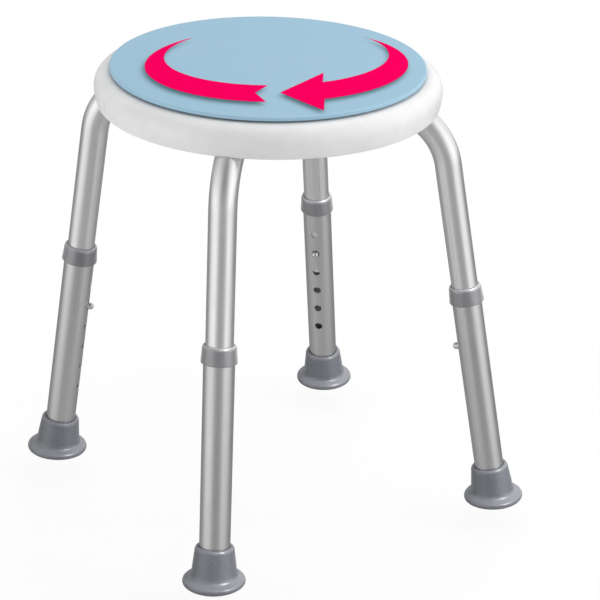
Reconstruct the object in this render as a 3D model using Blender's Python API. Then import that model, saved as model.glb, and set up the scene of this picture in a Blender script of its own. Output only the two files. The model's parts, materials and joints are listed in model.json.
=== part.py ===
"""Round swivel stool with four height-adjustable tube legs.

The seat is a moulded round base with a flat disc that turns on a central
pivot.  Two bent aluminium tubes cross under the seat and make the four upper
legs.  A larger tube with six holes slides over the end of each of them and is
held by a sprung snap button.  Every extension ends in a rubber foot.

The origin is on the floor under the swivel axis; +Z is up, -Y is the front
and +X the right.  Dimensions are in millimetres, scaled to metres by MM.
"""

import math

import bmesh
import bpy
from mathutils import Matrix, Vector

MM = 0.001

# name: (base colour, roughness, metallic)
MATERIALS = {
    "white_plastic": ((0.80, 0.80, 0.80), 0.32, 0.0),
    "blue_plastic": ((0.38, 0.60, 0.72), 0.38, 0.0),
    "magenta_vinyl": ((0.93, 0.004, 0.12), 0.4, 0.0),
    "natural_acetal": ((0.78, 0.77, 0.72), 0.4, 0.0),
    "aluminium": ((0.72, 0.72, 0.74), 0.28, 1.0),
    "grey_plastic": ((0.20, 0.20, 0.21), 0.5, 0.0),
    "grey_rubber": ((0.15, 0.155, 0.17), 0.6, 0.0),
    "zinc_steel": ((0.62, 0.62, 0.60), 0.35, 1.0),
    "polished_steel": ((0.85, 0.85, 0.86), 0.15, 1.0),
    "spring_steel": ((0.35, 0.35, 0.38), 0.3, 1.0),
}

# ---------------------------------------------------------------- dimensions
# Pairs ending in _Z are (bottom, top) heights, unless noted otherwise.
SEG_BIG = 44                      # seat parts
SEG_TUBE = 16                     # frame tubes
SEG_SLEEVE = SEG_TUBE + 2         # extensions, collars and feet

# swivel disc
DISC_R = 145.0
DISC_TOP = 428.0
DISC_UNDER = 424.2
HUB_R = 20.0
HUB_BOTTOM = 418.0
DISC_RIBS = 8
DISC_RIB_END = 110.0
DISC_RIB_HALF = 1.0               # half thickness
DISC_RIB_BOTTOM = 421.4

# seat base
RIM_R = 160.0                     # largest radius, at RIM_Z
RIM_Z = 408.0
SHOULDER_R = 145.5                # flat shoulder under the disc edge
SHOULDER_Z = 422.4
SKIRT_BOTTOM = 393.4
WALL = 3.0
PLATE_TOP = 419.2
PLATE_UNDER = 415.7
POCKET_R = 21.5                   # recess for the disc hub
POCKET_TOP = 415.8
POCKET_UNDER = 413.2
SEAT_BORE_R = 6.5
BASE_RIB_X = (30.0, 155.9)        # four straight ribs between the legs
BASE_RIB_Z = (402.0, 416.2)
BASE_RIB_HALF = 1.2               # half thickness of ribs and webs

# glide ring between seat base and disc, in a groove of the plate
GLIDE_R = (115.0, 125.0)
GLIDE_Z = (417.9, 423.9)
GROOVE_SIDE_GAP = 0.5
GROOVE_Z = GLIDE_Z[0] - 0.3

# crossed frame tubes (the upper legs)
UPPER_R = 12.7
UPPER_WALL = 1.5
RUN_Z = 400.0                     # height of the straight run under the seat
LEG_R_AT_RUN = 161.2              # leg centre line radius at RUN_Z, extended
SPLAY = math.atan(0.162)          # outward lean of each leg
BEND_R = 62.0                     # centre line radius of the bend
BEND_STEPS = 7
UPPER_END_Z = 143.8               # lower end of the upper leg
PRESS_HALF_WIDTH = 17.5           # pressed section at the crossing
PRESS_HALF_HEIGHT = 5.95
PRESS_SQUARENESS = 0.18           # how much fuller than an ellipse it is
PRESS_SHIFT = 6.45                # height offset of each pressed section
PRESS_FROM, PRESS_TO = 80.0, 22.0  # where the pressing starts and is complete
TUBE_ROOM = 0.35                  # gap between tubes and seat base
# name: (height offset at the crossing, angle from +X)
FRAME_TUBES = {"frame_tube_a": (PRESS_SHIFT, 45.0), "frame_tube_b": (-PRESS_SHIFT, 135.0)}

# central pivot
HEX_FLATS = 13.0                  # bolt head and nut, across flats
HEX_TURN = 10                     # degrees, bolt head and its pocket
BOLT_R = 4.0
BOLT_BORE_R = 4.3                 # bore of bush, washer and nut
BOLT_HEAD_Z = (420.1, 425.1)
BOLT_END_Z = 375.0
HEAD_POCKET_FLATS = HEX_FLATS + 0.4
HEAD_POCKET_Z = (419.8, 425.4)    # captive bolt head in the disc
SHANK_ROOM_R = 4.35               # bore through the disc hub
PIVOT_HOLE_R = 6.6                # hole through both frame tubes

# leg extensions, measured along the leg from the floor
LOWER_R = 14.3
LOWER_BORE = 13.1
LOWER_FROM, LOWER_TO = 12.5, 226.0
SLEEVE_BORE = LOWER_R + 0.35      # bore of collar and foot over the extension
HOLE_COUNT = 6
HOLE_PITCH = 22.5
HOLE_FIRST = 191.2                # top hole
HOLE_R = 4.0
BUTTON_HOLE = 1                   # the button sits in the second hole
BUTTON_T = HOLE_FIRST - BUTTON_HOLE * HOLE_PITCH

# collars
COLLAR_FROM, COLLAR_TO = 214.8, 231.8
COLLAR_R = 16.7                   # at the lower edge
COLLAR_TOP_R = 15.6
COLLAR_TOP_BORE = 13.2            # above the end of the extension

# snap buttons
BUTTON_R = 3.25
BUTTON_TIP = 19.4                 # reach of the domed end from the leg axis
BUTTON_BORE_R = 3.7               # hole in the upper tube
SPRING_HALF_THICK = 0.4
SPRING_HALF_WIDTH = 3.2

# rubber feet
FOOT_TOP = 39.2
FOOT_FLOOR = 10.3                 # bottom of the socket
FOOT_CENTRE = LEG_R_AT_RUN + RUN_Z * math.tan(SPLAY)

# saddles that hold the tubes under the seat
SADDLE_AT = 95.0                  # distance from the swivel axis
SADDLE_LEN = 22.0
SADDLE_EAR = 29.0                 # half width over the ears
SADDLE_INNER_R, SADDLE_OUTER_R = 13.1, 16.0
SADDLE_TOP = RUN_Z - 0.3
SADDLE_EAR_THICK = 3.0
SADDLE_SCREWS = {"a": -22.5, "b": 22.5}   # places across the tube
SCREW_ROOM_R = 2.3
BOSS_R, BOSS_Z = 5.0, (400.0, 416.4)
PILOT_R, PILOT_Z = 2.15, (399.0, 412.6)
CRADLE_OFFSET = 7.5               # webs either side of SADDLE_AT
CRADLE_HALF_WIDTH = 27.5
CRADLE_Z = (400.6, 416.3)

# rotation arrow inlay: a crescent between two offset ellipses
# (centre x, centre y, half length, half width, turn in degrees)
ARROW_OUTER = (7.1, -2.9, 122.3, 103.8, -12.8)
ARROW_INNER = (19.5, 18.2, 105.4, 83.8, -14.8)
ARROW_MIN_WIDTH = 0.9
ARROW_RECESS = 427.1              # recess floor
ARROW_Z = (427.4, 427.95)
ARROW_GAP = 0.3
MITRE_LIMIT = 0.45                # smallest divisor used at a sharp corner
# azimuths are in degrees from -Y towards +X; points are (azimuth, radius)
TAIL_END, TAIL_TIP = -32.5, -165.3
TAIL_NOTCH = (-40.0, 81.7)
HEAD_SHAFT_OUT, HEAD_SHAFT_IN, HEAD_TIP_END = -3.6, 13.6, 102.7
HEAD_CORNER_OUT = (-10.1, 133.6)
HEAD_CORNER_IN = (34.6, 53.9)
HEAD_POINT = (-24.1, 79.8)

# angle from +X; front and back, right and left
LEGS = {"fr": -45.0, "br": 45.0, "bl": 135.0, "fl": 225.0}

Z_TO_X = Matrix.Rotation(math.pi / 2, 4, "Y")


# ------------------------------------------------------------------- objects
def material(name, colour, roughness, metallic):
    mat = bpy.data.materials.new(name)
    mat.use_nodes = True
    shader = mat.node_tree.nodes["Principled BSDF"]
    shader.inputs["Base Color"].default_value = (*colour, 1.0)
    shader.inputs["Roughness"].default_value = roughness
    shader.inputs["Metallic"].default_value = metallic
    mat.diffuse_color = (*colour, 1.0)
    return mat


def link(name, data):
    obj = bpy.data.objects.new(name, data)
    bpy.context.scene.collection.objects.link(obj)
    return obj


def mesh_object(name, geometry, mat=None):
    """Closed mesh from millimetre (verts, faces), normals made to point out."""
    verts, faces = geometry
    mesh = bpy.data.meshes.new(name)
    mesh.from_pydata([(x * MM, y * MM, z * MM) for x, y, z in verts], [], faces)
    bm = bmesh.new()
    bm.from_mesh(mesh)
    bmesh.ops.recalc_face_normals(bm, faces=bm.faces)
    bm.to_mesh(mesh)
    bm.free()
    mesh.update()
    if mat:
        mesh.materials.append(mat)
    return link(name, mesh)


def finish(obj, angle=35.0):
    """Smooth shading with sharp edges above the angle."""
    obj.data.shade_smooth()
    obj.data.set_sharp_from_angle(angle=math.radians(angle))
    return obj


def combine(obj, tool, operation):
    """Boolean of obj with tool, applied at once; the tool is then removed."""
    mod = obj.modifiers.new("cut", "BOOLEAN")
    mod.operation = operation
    mod.solver = "EXACT"
    mod.object = tool
    bpy.context.view_layer.update()
    depsgraph = bpy.context.evaluated_depsgraph_get()
    new = bpy.data.meshes.new_from_object(obj.evaluated_get(depsgraph))
    old = obj.data
    mats = list(old.materials)
    obj.modifiers.clear()
    obj.data = new
    # the tool leaves no material slots behind
    new.materials.clear()
    for mat in mats[:1]:
        new.materials.append(mat)
    new.polygons.foreach_set("material_index", [0] * len(new.polygons))
    bpy.data.meshes.remove(old)
    bpy.data.objects.remove(tool, do_unlink=True)
    new.name = obj.name


def cut(obj, geometry):
    combine(obj, mesh_object("tool", geometry), "DIFFERENCE")


def join(obj, geometry):
    combine(obj, mesh_object("tool", geometry), "UNION")


def empty(name, matrix):
    """Empty at a millimetre placement."""
    matrix = matrix.copy()
    matrix.translation = matrix.translation * MM
    obj = link(name, None)
    obj.empty_display_size = 0.02
    obj.matrix_world = matrix
    return obj


def instance(name, template, parent, location=(0, 0, 0)):
    """Object that shares the template's mesh, placed in its parent's frame."""
    obj = link(name, template.data)
    obj.parent = parent
    obj.matrix_parent_inverse = Matrix.Identity(4)
    obj.location = Vector(location) * MM


# ------------------------------------------------- geometry as (verts, faces)
def lathe(profile, segs):
    """Turns a (radius, z) profile about Z.  A profile that starts and ends on
    the axis gives a solid, any other one is closed into a ring."""
    verts, rows = [], []
    for r, z in profile:
        if r < 1e-6:
            rows.append([len(verts)] * segs)
            verts.append((0.0, 0.0, z))
        else:
            rows.append(list(range(len(verts), len(verts) + segs)))
            for k in range(segs):
                a = 2 * math.pi * k / segs
                verts.append((r * math.cos(a), r * math.sin(a), z))
    pairs = list(zip(rows, rows[1:]))
    if profile[0][0] > 1e-6 or profile[-1][0] > 1e-6:
        pairs.append((rows[-1], rows[0]))
    faces = []
    for p, q in pairs:
        for k in range(segs):
            n = (k + 1) % segs
            # dropping repeats leaves a triangle at the axis
            faces.append(list(dict.fromkeys([p[k], p[n], q[n], q[k]])))
    return verts, faces


def turned(name, profile, segs, mat):
    return mesh_object(name, lathe(profile, segs), mat)


def prism(outline, z0, z1):
    """Extrudes a closed (x, y) outline from z0 to z1."""
    n = len(outline)
    verts = [(x, y, z0) for x, y in outline] + [(x, y, z1) for x, y in outline]
    faces = [list(range(n)), list(range(n, 2 * n))]
    faces += [[k, (k + 1) % n, n + (k + 1) % n, n + k] for k in range(n)]
    return verts, faces


def placed(geometry, matrix):
    verts, faces = geometry
    return [tuple(matrix @ Vector(v)) for v in verts], faces


def cylinder(r, z0, z1, segs):
    angles = [2 * math.pi * k / segs for k in range(segs)]
    return prism([(r * math.cos(a), r * math.sin(a)) for a in angles], z0, z1)


def hexagon(flats, z0, z1):
    return cylinder(flats / math.sqrt(3), z0, z1, 6)


def box(x_range, half_width, z_range):
    """Box centred on y = 0."""
    x0, x1 = x_range
    outline = [(x0, -half_width), (x1, -half_width), (x1, half_width), (x0, half_width)]
    return prism(outline, *z_range)


def skinned(outer, inner=None):
    """Skins rings of equal length.  With inner rings the result is a tube open
    at both ends, without them a solid bar."""
    n = len(outer[0])
    verts = [v for ring in outer for v in ring]
    faces = []

    def skin(base, count):
        for i in range(count - 1):
            for k in range(n):
                a, b = base + i * n + k, base + i * n + (k + 1) % n
                faces.append([a, b, b + n, a + n])

    skin(0, len(outer))
    last = (len(outer) - 1) * n
    if inner:
        base = len(verts)
        verts += [v for ring in inner for v in ring]
        skin(base, len(inner))
        end = base + (len(inner) - 1) * n
        for k in range(n):
            m = (k + 1) % n
            faces.append([k, m, base + m, base + k])
            faces.append([last + k, last + m, end + m, end + k])
    else:
        faces.append(list(range(n)))
        faces.append(list(range(last, last + n)))
    return verts, faces


# -------------------------------------------------------------------- frames
def turn(angle):
    return Matrix.Rotation(math.radians(angle), 4, "Z")


def leg_matrix(angle):
    """Leg frame in millimetres: origin on the floor, Z up along the leg, X
    square to the leg and pointing at the stool's centre."""
    out = Vector((math.cos(math.radians(angle)), math.sin(math.radians(angle)), 0))
    up = Vector((0, 0, 1))
    z = -math.sin(SPLAY) * out + math.cos(SPLAY) * up
    x = -math.cos(SPLAY) * out - math.sin(SPLAY) * up
    y = z.cross(x)
    matrix = Matrix((x, y, z)).transposed().to_4x4()
    matrix.translation = out * FOOT_CENTRE
    return matrix


# --------------------------------------------------------------- tube centre
def tube_stations(shift):
    """Centre line of one crossed tube in its own X-Z plane, -X foot end to
    +X foot end: (x, z, direction angle, pressed share)."""
    half = []
    for f in (0.0, 0.25, 0.5, 0.75, 1.0):
        x = PRESS_TO + (PRESS_FROM - PRESS_TO) * f
        # smoothstep of 1 - f, and the slope it gives the centre line
        pressed = (1 - f) * (1 - f) * (3 - 2 * (1 - f))
        slope = 6 * f * (1 - f) * shift / (PRESS_FROM - PRESS_TO)
        half.append((x, RUN_Z + pressed * shift, -math.atan(slope), pressed))
    bend_x = LEG_R_AT_RUN - BEND_R * (1 - math.sin(SPLAY)) / math.cos(SPLAY)
    bend_z = RUN_Z - BEND_R
    for i in range(BEND_STEPS + 1):
        a = math.pi / 2 - (math.pi / 2 - SPLAY) * i / BEND_STEPS
        half.append((bend_x + BEND_R * math.cos(a), bend_z + BEND_R * math.sin(a),
                     a - math.pi / 2, 0.0))
    end_x = LEG_R_AT_RUN + (RUN_Z - UPPER_END_Z) * math.tan(SPLAY)
    half.append((end_x, UPPER_END_Z, SPLAY - math.pi / 2, 0.0))
    return [(-x, z, -a, pressed) for x, z, a, pressed in reversed(half)] + half


def tube_rings(shift, inset):
    """Rings along a tube; a positive inset shrinks them, a negative one grows."""
    rings = []
    for x, z, direction, pressed in tube_stations(shift):
        half_width = UPPER_R + (PRESS_HALF_WIDTH - UPPER_R) * pressed - inset
        half_height = UPPER_R + (PRESS_HALF_HEIGHT - UPPER_R) * pressed - inset
        power = 1.0 - PRESS_SQUARENESS * pressed
        ring = []
        for k in range(SEG_TUBE):
            t = 2 * math.pi * (k + 0.5) / SEG_TUBE
            c, s = math.cos(t), math.sin(t)
            w = half_width * math.copysign(abs(c) ** power, c)
            h = half_height * math.copysign(abs(s) ** power, s)
            ring.append((x - h * math.sin(direction), w, z + h * math.cos(direction)))
        rings.append(ring)
    return rings


# ------------------------------------------------------------ rotation arrow
def ellipse_radius(ellipse, azimuth):
    """Distance from the swivel axis to an ellipse along an azimuth."""
    centre_x, centre_y, half_length, half_width, rotation = ellipse
    ray = Vector(polar(azimuth, 1.0))
    c, s = math.cos(math.radians(rotation)), math.sin(math.radians(rotation))
    # ray direction and start, in the frame where the ellipse is a unit circle
    dx = (ray.x * c + ray.y * s) / half_length
    dy = (-ray.x * s + ray.y * c) / half_width
    ox = (-centre_x * c - centre_y * s) / half_length
    oy = (centre_x * s - centre_y * c) / half_width
    qa, qb, qc = dx * dx + dy * dy, 2 * (dx * ox + dy * oy), ox * ox + oy * oy - 1
    return (-qb + math.sqrt(qb * qb - 4 * qa * qc)) / (2 * qa)


def polar(azimuth, r):
    a = math.radians(azimuth)
    return (r * math.sin(a), -r * math.cos(a))


def outer_radius(azimuth):
    return ellipse_radius(ARROW_OUTER, azimuth)


def inner_radius(azimuth):
    """Inner edge, kept inside the outer one where the two ellipses meet."""
    return min(ellipse_radius(ARROW_INNER, azimuth), outer_radius(azimuth) - ARROW_MIN_WIDTH)


def arrow_edge(radius_at, start, stop, steps):
    azimuths = [start + (stop - start) * i / steps for i in range(steps + 1)]
    return [polar(azimuth, radius_at(azimuth)) for azimuth in azimuths]


def tail_outline():
    outer = arrow_edge(outer_radius, TAIL_END, TAIL_TIP, 26)
    inner = arrow_edge(inner_radius, TAIL_END, TAIL_TIP, 26)
    return outer + inner[::-1] + [polar(*TAIL_NOTCH)]


def head_outline():
    outer = arrow_edge(outer_radius, HEAD_SHAFT_OUT, HEAD_TIP_END, 22)
    inner = arrow_edge(inner_radius, HEAD_SHAFT_IN, HEAD_TIP_END, 18)
    corners = [polar(*p) for p in (HEAD_CORNER_IN, HEAD_POINT, HEAD_CORNER_OUT)]
    return outer + inner[::-1] + corners


def grown(outline, distance):
    """Offsets a closed outline outwards, with the corners limited."""
    following = outline[1:] + outline[:1]
    area = sum(x0 * y1 - x1 * y0 for (x0, y0), (x1, y1) in zip(outline, following))
    sign = 1.0 if area > 0 else -1.0
    out = []
    n = len(outline)
    for i in range(n):
        before, here, after = (Vector(outline[j % n]) for j in (i - 1, i, i + 1))
        edge_in, edge_out = (here - before).normalized(), (after - here).normalized()
        normal_in = Vector((edge_in.y, -edge_in.x)) * sign
        normal_out = Vector((edge_out.y, -edge_out.x)) * sign
        mitre = (normal_in + normal_out).normalized()
        out.append(tuple(here + mitre * (distance / max(MITRE_LIMIT, mitre.dot(normal_in)))))
    return out


def build_arrow(mats):
    for part, outline in (("tail", tail_outline()), ("head", head_outline())):
        name = "rotation_arrow_" + part
        finish(mesh_object(name, prism(outline, *ARROW_Z), mats["magenta_vinyl"]), angle=60)


# ----------------------------------------------------------------------- seat
def seat_base_profile():
    """(radius, z) section, from the bore over the top, rim and skirt and back
    along the underside."""
    bow_r, bow_z = RIM_R - SHOULDER_R, SHOULDER_Z - RIM_Z
    groove_in, groove_out = GLIDE_R[0] - GROOVE_SIDE_GAP, GLIDE_R[1] + GROOVE_SIDE_GAP
    top = [(SEAT_BORE_R, POCKET_TOP), (POCKET_R, POCKET_TOP), (POCKET_R + 0.6, PLATE_TOP),
           (groove_in, PLATE_TOP), (groove_in, GROOVE_Z),
           (groove_out, GROOVE_Z), (groove_out, PLATE_TOP),
           (132.0, PLATE_TOP), (134.5, SHOULDER_Z)]
    rim = []
    for i in range(6):
        t = math.pi / 2 * i / 5
        rim.append((SHOULDER_R + bow_r * math.sin(t), RIM_Z + bow_z * math.cos(t)))
    skirt = [(159.2, 399.5), (157.9, 394.4), (156.6, SKIRT_BOTTOM),
             (155.4, SKIRT_BOTTOM + 0.4), (156.8, RIM_Z)]
    # inner side of the rim, on a smaller arc
    rim_under = []
    for i in range(3):
        t = math.pi / 2 * (2 - i) / 2.8
        rim_under.append((SHOULDER_R - 1.5 + (bow_r - WALL + 1.3) * math.sin(t),
                          RIM_Z + (bow_z - WALL) * math.cos(t)))
    # the plate's underside has a thin round rib down to z = 404
    under = [(138.0, SHOULDER_Z - 3.4), (134.0, PLATE_UNDER - 0.6),
             (61.6, PLATE_UNDER), (61.3, 404.0), (59.3, 404.0), (59.0, PLATE_UNDER),
             (24.5, PLATE_UNDER), (23.5, POCKET_UNDER), (SEAT_BORE_R, POCKET_UNDER)]
    return top + rim + skirt + rim_under + under


def build_seat_base(mats):
    base = turned("seat_base", seat_base_profile(), SEG_BIG, mats["white_plastic"])
    for k in range(4):
        join(base, placed(box(BASE_RIB_X, BASE_RIB_HALF, BASE_RIB_Z), turn(90 * k)))

    # tube cradles and screw bosses
    for angle in LEGS.values():
        for x in (SADDLE_AT - CRADLE_OFFSET, SADDLE_AT + CRADLE_OFFSET):
            web = box((x - BASE_RIB_HALF, x + BASE_RIB_HALF), CRADLE_HALF_WIDTH, CRADLE_Z)
            join(base, placed(web, turn(angle)))
        for y in SADDLE_SCREWS.values():
            place = turn(angle) @ Matrix.Translation((SADDLE_AT, y, 0))
            join(base, placed(cylinder(BOSS_R, *BOSS_Z, 14), place))
            cut(base, placed(cylinder(PILOT_R, *PILOT_Z, 10), place))
    for shift, angle in FRAME_TUBES.values():
        bar = mesh_object("tube_room", skinned(tube_rings(shift, -TUBE_ROOM)))
        bar.data.transform(turn(angle))
        combine(base, bar, "DIFFERENCE")
    finish(base)


def build_swivel_disc(mats):
    disc = turned("swivel_disc", [
        (0, DISC_TOP), (DISC_R - 1.5, DISC_TOP), (DISC_R - 0.5, DISC_TOP - 0.35),
        (DISC_R, DISC_TOP - 1.1), (DISC_R, DISC_UNDER + 0.5), (DISC_R - 0.5, DISC_UNDER),
        (HUB_R + 1.5, DISC_UNDER), (HUB_R, DISC_UNDER - 1.5), (HUB_R, HUB_BOTTOM),
        (0, HUB_BOTTOM)], SEG_BIG, mats["blue_plastic"])
    # ribs run a little into the hub and the plate
    rib = box((HUB_R - 1.5, DISC_RIB_END), DISC_RIB_HALF, (DISC_RIB_BOTTOM, DISC_UNDER + 0.8))
    for k in range(DISC_RIBS):
        join(disc, placed(rib, turn(360 / DISC_RIBS * k)))
    cut(disc, placed(hexagon(HEAD_POCKET_FLATS, *HEAD_POCKET_Z), turn(HEX_TURN)))
    cut(disc, cylinder(SHANK_ROOM_R, HUB_BOTTOM - 1, HEAD_POCKET_Z[0] + 1, 16))
    for outline in (tail_outline(), head_outline()):
        cut(disc, prism(grown(outline, ARROW_GAP), ARROW_RECESS, DISC_TOP + 2))
    finish(disc)


def build_glide_ring(mats):
    (r0, r1), (z0, z1) = GLIDE_R, GLIDE_Z
    profile = [(r0, z0), (r0 + 0.4, z1), (r1 - 0.4, z1), (r1, z0)]
    finish(turned("glide_ring", profile, SEG_BIG, mats["natural_acetal"]))


# ---------------------------------------------------------------------- pivot
def build_pivot_bolt(mats):
    head = placed(hexagon(HEX_FLATS, *BOLT_HEAD_Z), turn(HEX_TURN))
    bolt = mesh_object("pivot_bolt", head, mats["zinc_steel"])
    shank_top = BOLT_HEAD_Z[0] + 0.5
    join(bolt, lathe([(0, shank_top), (BOLT_R, shank_top), (BOLT_R, BOLT_END_Z + 1.0),
                      (BOLT_R - 0.8, BOLT_END_Z), (0, BOLT_END_Z)], 16))
    finish(bolt)


def build_pivot_bush(mats):
    profile = [(BOLT_BORE_R, 417.7), (12.6, 417.7), (13.0, 417.3), (13.0, 416.1),
               (6.1, 416.1), (6.1, 387.2), (BOLT_BORE_R, 387.2)]
    finish(turned("pivot_bush", profile, 16, mats["natural_acetal"]))


def build_pivot_washer(mats):
    profile = [(BOLT_BORE_R, 386.8), (11.0, 386.8), (11.0, 385.3), (BOLT_BORE_R, 385.3)]
    finish(turned("pivot_washer", profile, 18, mats["zinc_steel"]))


def build_pivot_nut(mats):
    """Hexagon nut with a round collar below."""
    nut = mesh_object("pivot_nut", hexagon(HEX_FLATS, 378.8, 385.0), mats["zinc_steel"])
    join(nut, lathe([(0, 379.0), (5.9, 379.0), (5.6, 377.2), (4.9, 376.8), (0, 376.8)], 14))
    cut(nut, cylinder(BOLT_BORE_R, 370.0, 390.0, 16))
    finish(nut)


# ---------------------------------------------------------------------- frame
def build_frame_tubes(mats):
    for name, (shift, angle) in FRAME_TUBES.items():
        rings = skinned(tube_rings(shift, 0.0), tube_rings(shift, UPPER_WALL))
        tube = mesh_object(name, rings, mats["aluminium"])
        cut(tube, cylinder(PIVOT_HOLE_R, 380.0, 420.0, 16))
        for side in (0.0, 180.0):
            place = leg_matrix(side) @ Matrix.Translation((0, 0, BUTTON_T)) @ Z_TO_X
            cut(tube, placed(cylinder(BUTTON_BORE_R, 4.0, 20.0, 12), place))
        finish(tube, angle=30)
        tube.rotation_euler = (0, 0, math.radians(angle))


def saddle_outline():
    """Strap section across the tube: x across, y up."""
    ear, top, low = SADDLE_EAR, SADDLE_TOP, SADDLE_TOP - SADDLE_EAR_THICK
    steps = 12

    def arc(r, y):
        """Arc under the tube, between the two points at height y."""
        start = math.asin((RUN_Z - y) / r)
        angles = [start + (math.pi - 2 * start) * i / steps for i in range(steps + 1)]
        return [(r * math.cos(a), RUN_Z - r * math.sin(a)) for a in angles]

    return ([(ear, low), (ear, top)] + arc(SADDLE_INNER_R, top)
            + [(-ear, top), (-ear, low)] + arc(SADDLE_OUTER_R, low)[::-1])


def make_strap(mats):
    section = prism(saddle_outline(), -SADDLE_LEN / 2, SADDLE_LEN / 2)
    strap = mesh_object("strap", section, mats["white_plastic"])
    # outline x -> across, outline y -> up, extrusion -> along the tube
    strap.data.transform(Matrix(((0, 0, 1, SADDLE_AT * MM),
                                 (1, 0, 0, 0), (0, 1, 0, 0), (0, 0, 0, 1))))
    for y in SADDLE_SCREWS.values():
        hole = cylinder(SCREW_ROOM_R, 390.0, 405.0, 10)
        cut(strap, placed(hole, Matrix.Translation((SADDLE_AT, y, 0))))
    return finish(strap)


def make_saddle_screw(mats):
    profile = [(0, 395.0), (1.6, 393.8), (3.3, 394.0), (3.9, 395.2), (3.9, 396.4),
               (1.9, 396.4), (1.9, 409.5), (0, 411.5)]
    return finish(turned("screw", profile, 8, mats["zinc_steel"]))


def build_saddles(mats):
    strap, screw = make_strap(mats), make_saddle_screw(mats)
    for leg, angle in LEGS.items():
        hub = empty("saddle_place_" + leg, turn(angle))
        instance("tube_saddle_" + leg, strap, hub)
        for side, y in SADDLE_SCREWS.items():
            instance(f"saddle_screw_{leg}_{side}", screw, hub, (SADDLE_AT, y, 0))
    for template in (strap, screw):
        bpy.data.objects.remove(template)


# ----------------------------------------------------------------------- legs
def make_extension(mats):
    profile = [(LOWER_R, LOWER_FROM), (LOWER_R, LOWER_TO),
               (LOWER_BORE, LOWER_TO), (LOWER_BORE, LOWER_FROM)]
    lower = turned("lower", profile, SEG_SLEEVE, mats["aluminium"])
    # holes through the wall that faces the stool's centre
    for k in range(HOLE_COUNT):
        place = Matrix.Translation((0, 0, HOLE_FIRST - k * HOLE_PITCH)) @ Z_TO_X
        cut(lower, placed(cylinder(HOLE_R, 5.0, 20.0, 12), place))
    return finish(lower, angle=30)


def make_collar(mats):
    ledge = LOWER_TO + 0.4        # just above the end of the extension
    return finish(turned("collar", [
        (SLEEVE_BORE, COLLAR_FROM), (COLLAR_R - 0.6, COLLAR_FROM),
        (COLLAR_R, COLLAR_FROM + 0.8), (COLLAR_R - 0.5, COLLAR_FROM + 6.0),
        (COLLAR_TOP_R, COLLAR_TO - 2.6), (COLLAR_TOP_R - 0.7, COLLAR_TO - 0.8),
        (COLLAR_TOP_R - 1.5, COLLAR_TO), (COLLAR_TOP_BORE, COLLAR_TO),
        (COLLAR_TOP_BORE, ledge), (SLEEVE_BORE, ledge)], SEG_SLEEVE, mats["grey_plastic"]))


def make_button(mats):
    """Domed pin with a flange at its inner end, pointing along +X."""
    button = turned("button", [
        (0, 8.3), (4.2, 8.3), (4.2, 9.6), (BUTTON_R, 9.7), (BUTTON_R, BUTTON_TIP - 2.2),
        (BUTTON_R * 0.86, BUTTON_TIP - 1.0), (BUTTON_R * 0.5, BUTTON_TIP - 0.2),
        (0, BUTTON_TIP)], 12, mats["polished_steel"])
    button.data.transform(Z_TO_X)
    return finish(button)


# centre line of the V spring in the leg frame:
# (x towards the stool's centre, height above the button along the leg)
SPRING_LINE = [
    (7.5, -7.0), (7.5, 6.0), (4.6, 24.0), (2.0, 33.0), (0.6, 36.2), (-1.2, 37.2),
    (-3.0, 36.2), (-4.2, 33.0), (-6.6, 20.0), (-9.6, -2.0), (-9.2, -9.0),
]


def spring_outline():
    line = [Vector((x, BUTTON_T + height)) for x, height in SPRING_LINE]
    one_side, other_side = [], []
    for i, point in enumerate(line):
        before, after = line[max(0, i - 1)], line[min(len(line) - 1, i + 1)]
        along = (after - before).normalized()
        offset = Vector((along.y, -along.x)) * SPRING_HALF_THICK
        one_side.append(tuple(point + offset))
        other_side.append(tuple(point - offset))
    return one_side + other_side[::-1]


def make_spring(mats):
    strip = prism(spring_outline(), -SPRING_HALF_WIDTH, SPRING_HALF_WIDTH)
    spring = mesh_object("spring", strip, mats["spring_steel"])
    # outline (x, y) becomes (x, z) of the leg frame
    spring.data.transform(Matrix(((1, 0, 0, 0), (0, 0, -1, 0), (0, 1, 0, 0), (0, 0, 0, 1))))
    return finish(spring)


def make_foot_washer(mats):
    profile = [(4.0, 10.65), (13.6, 10.65), (13.6, 12.15), (4.0, 12.15)]
    return finish(turned("washer", profile, 14, mats["zinc_steel"]))


def make_foot(mats):
    """Rubber foot in a level frame at the leg's floor point, +X outwards.
    The tread is level, the flange leans a little and the socket is square
    to the leg."""
    cos = math.cos(SPLAY)
    # (z, radius, share of the splay the ring is tilted by)
    outer = [
        (0.0, 12.6, 0), (1.0, 13.4, 0), (1.0, 15.6, 0), (0.0, 16.4, 0), (0.0, 21.0, 0),
        (1.9, 26.4, 0.3), (3.3, 28.7, 0.45), (4.9, 29.15, 0.45), (6.6, 28.7, 0.45),
        (8.0, 27.2, 0.4), (9.8, 24.2, 0.35), (12.8, 21.6, 0.4), (17.0, 20.6, 0.55),
        ((FOOT_TOP - 2.4) * cos, 18.3, 1), ((FOOT_TOP - 0.7) * cos, 17.5, 1),
        (FOOT_TOP * cos, 16.2, 1),
    ]
    socket = [(FOOT_TOP * cos, SLEEVE_BORE, 1), (FOOT_FLOOR * cos, SLEEVE_BORE, 1)]
    angles = [2 * math.pi * k / SEG_SLEEVE for k in range(SEG_SLEEVE)]
    rings = []
    for z, r, share in outer + socket:
        tilt = SPLAY * share
        centre_x = -z * math.tan(SPLAY)
        rings.append([(centre_x + r * math.cos(t) * math.cos(tilt), r * math.sin(t),
                       z + r * math.cos(t) * math.sin(tilt)) for t in angles])
    return finish(mesh_object("foot", skinned(rings), mats["grey_rubber"]), angle=40)


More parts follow.
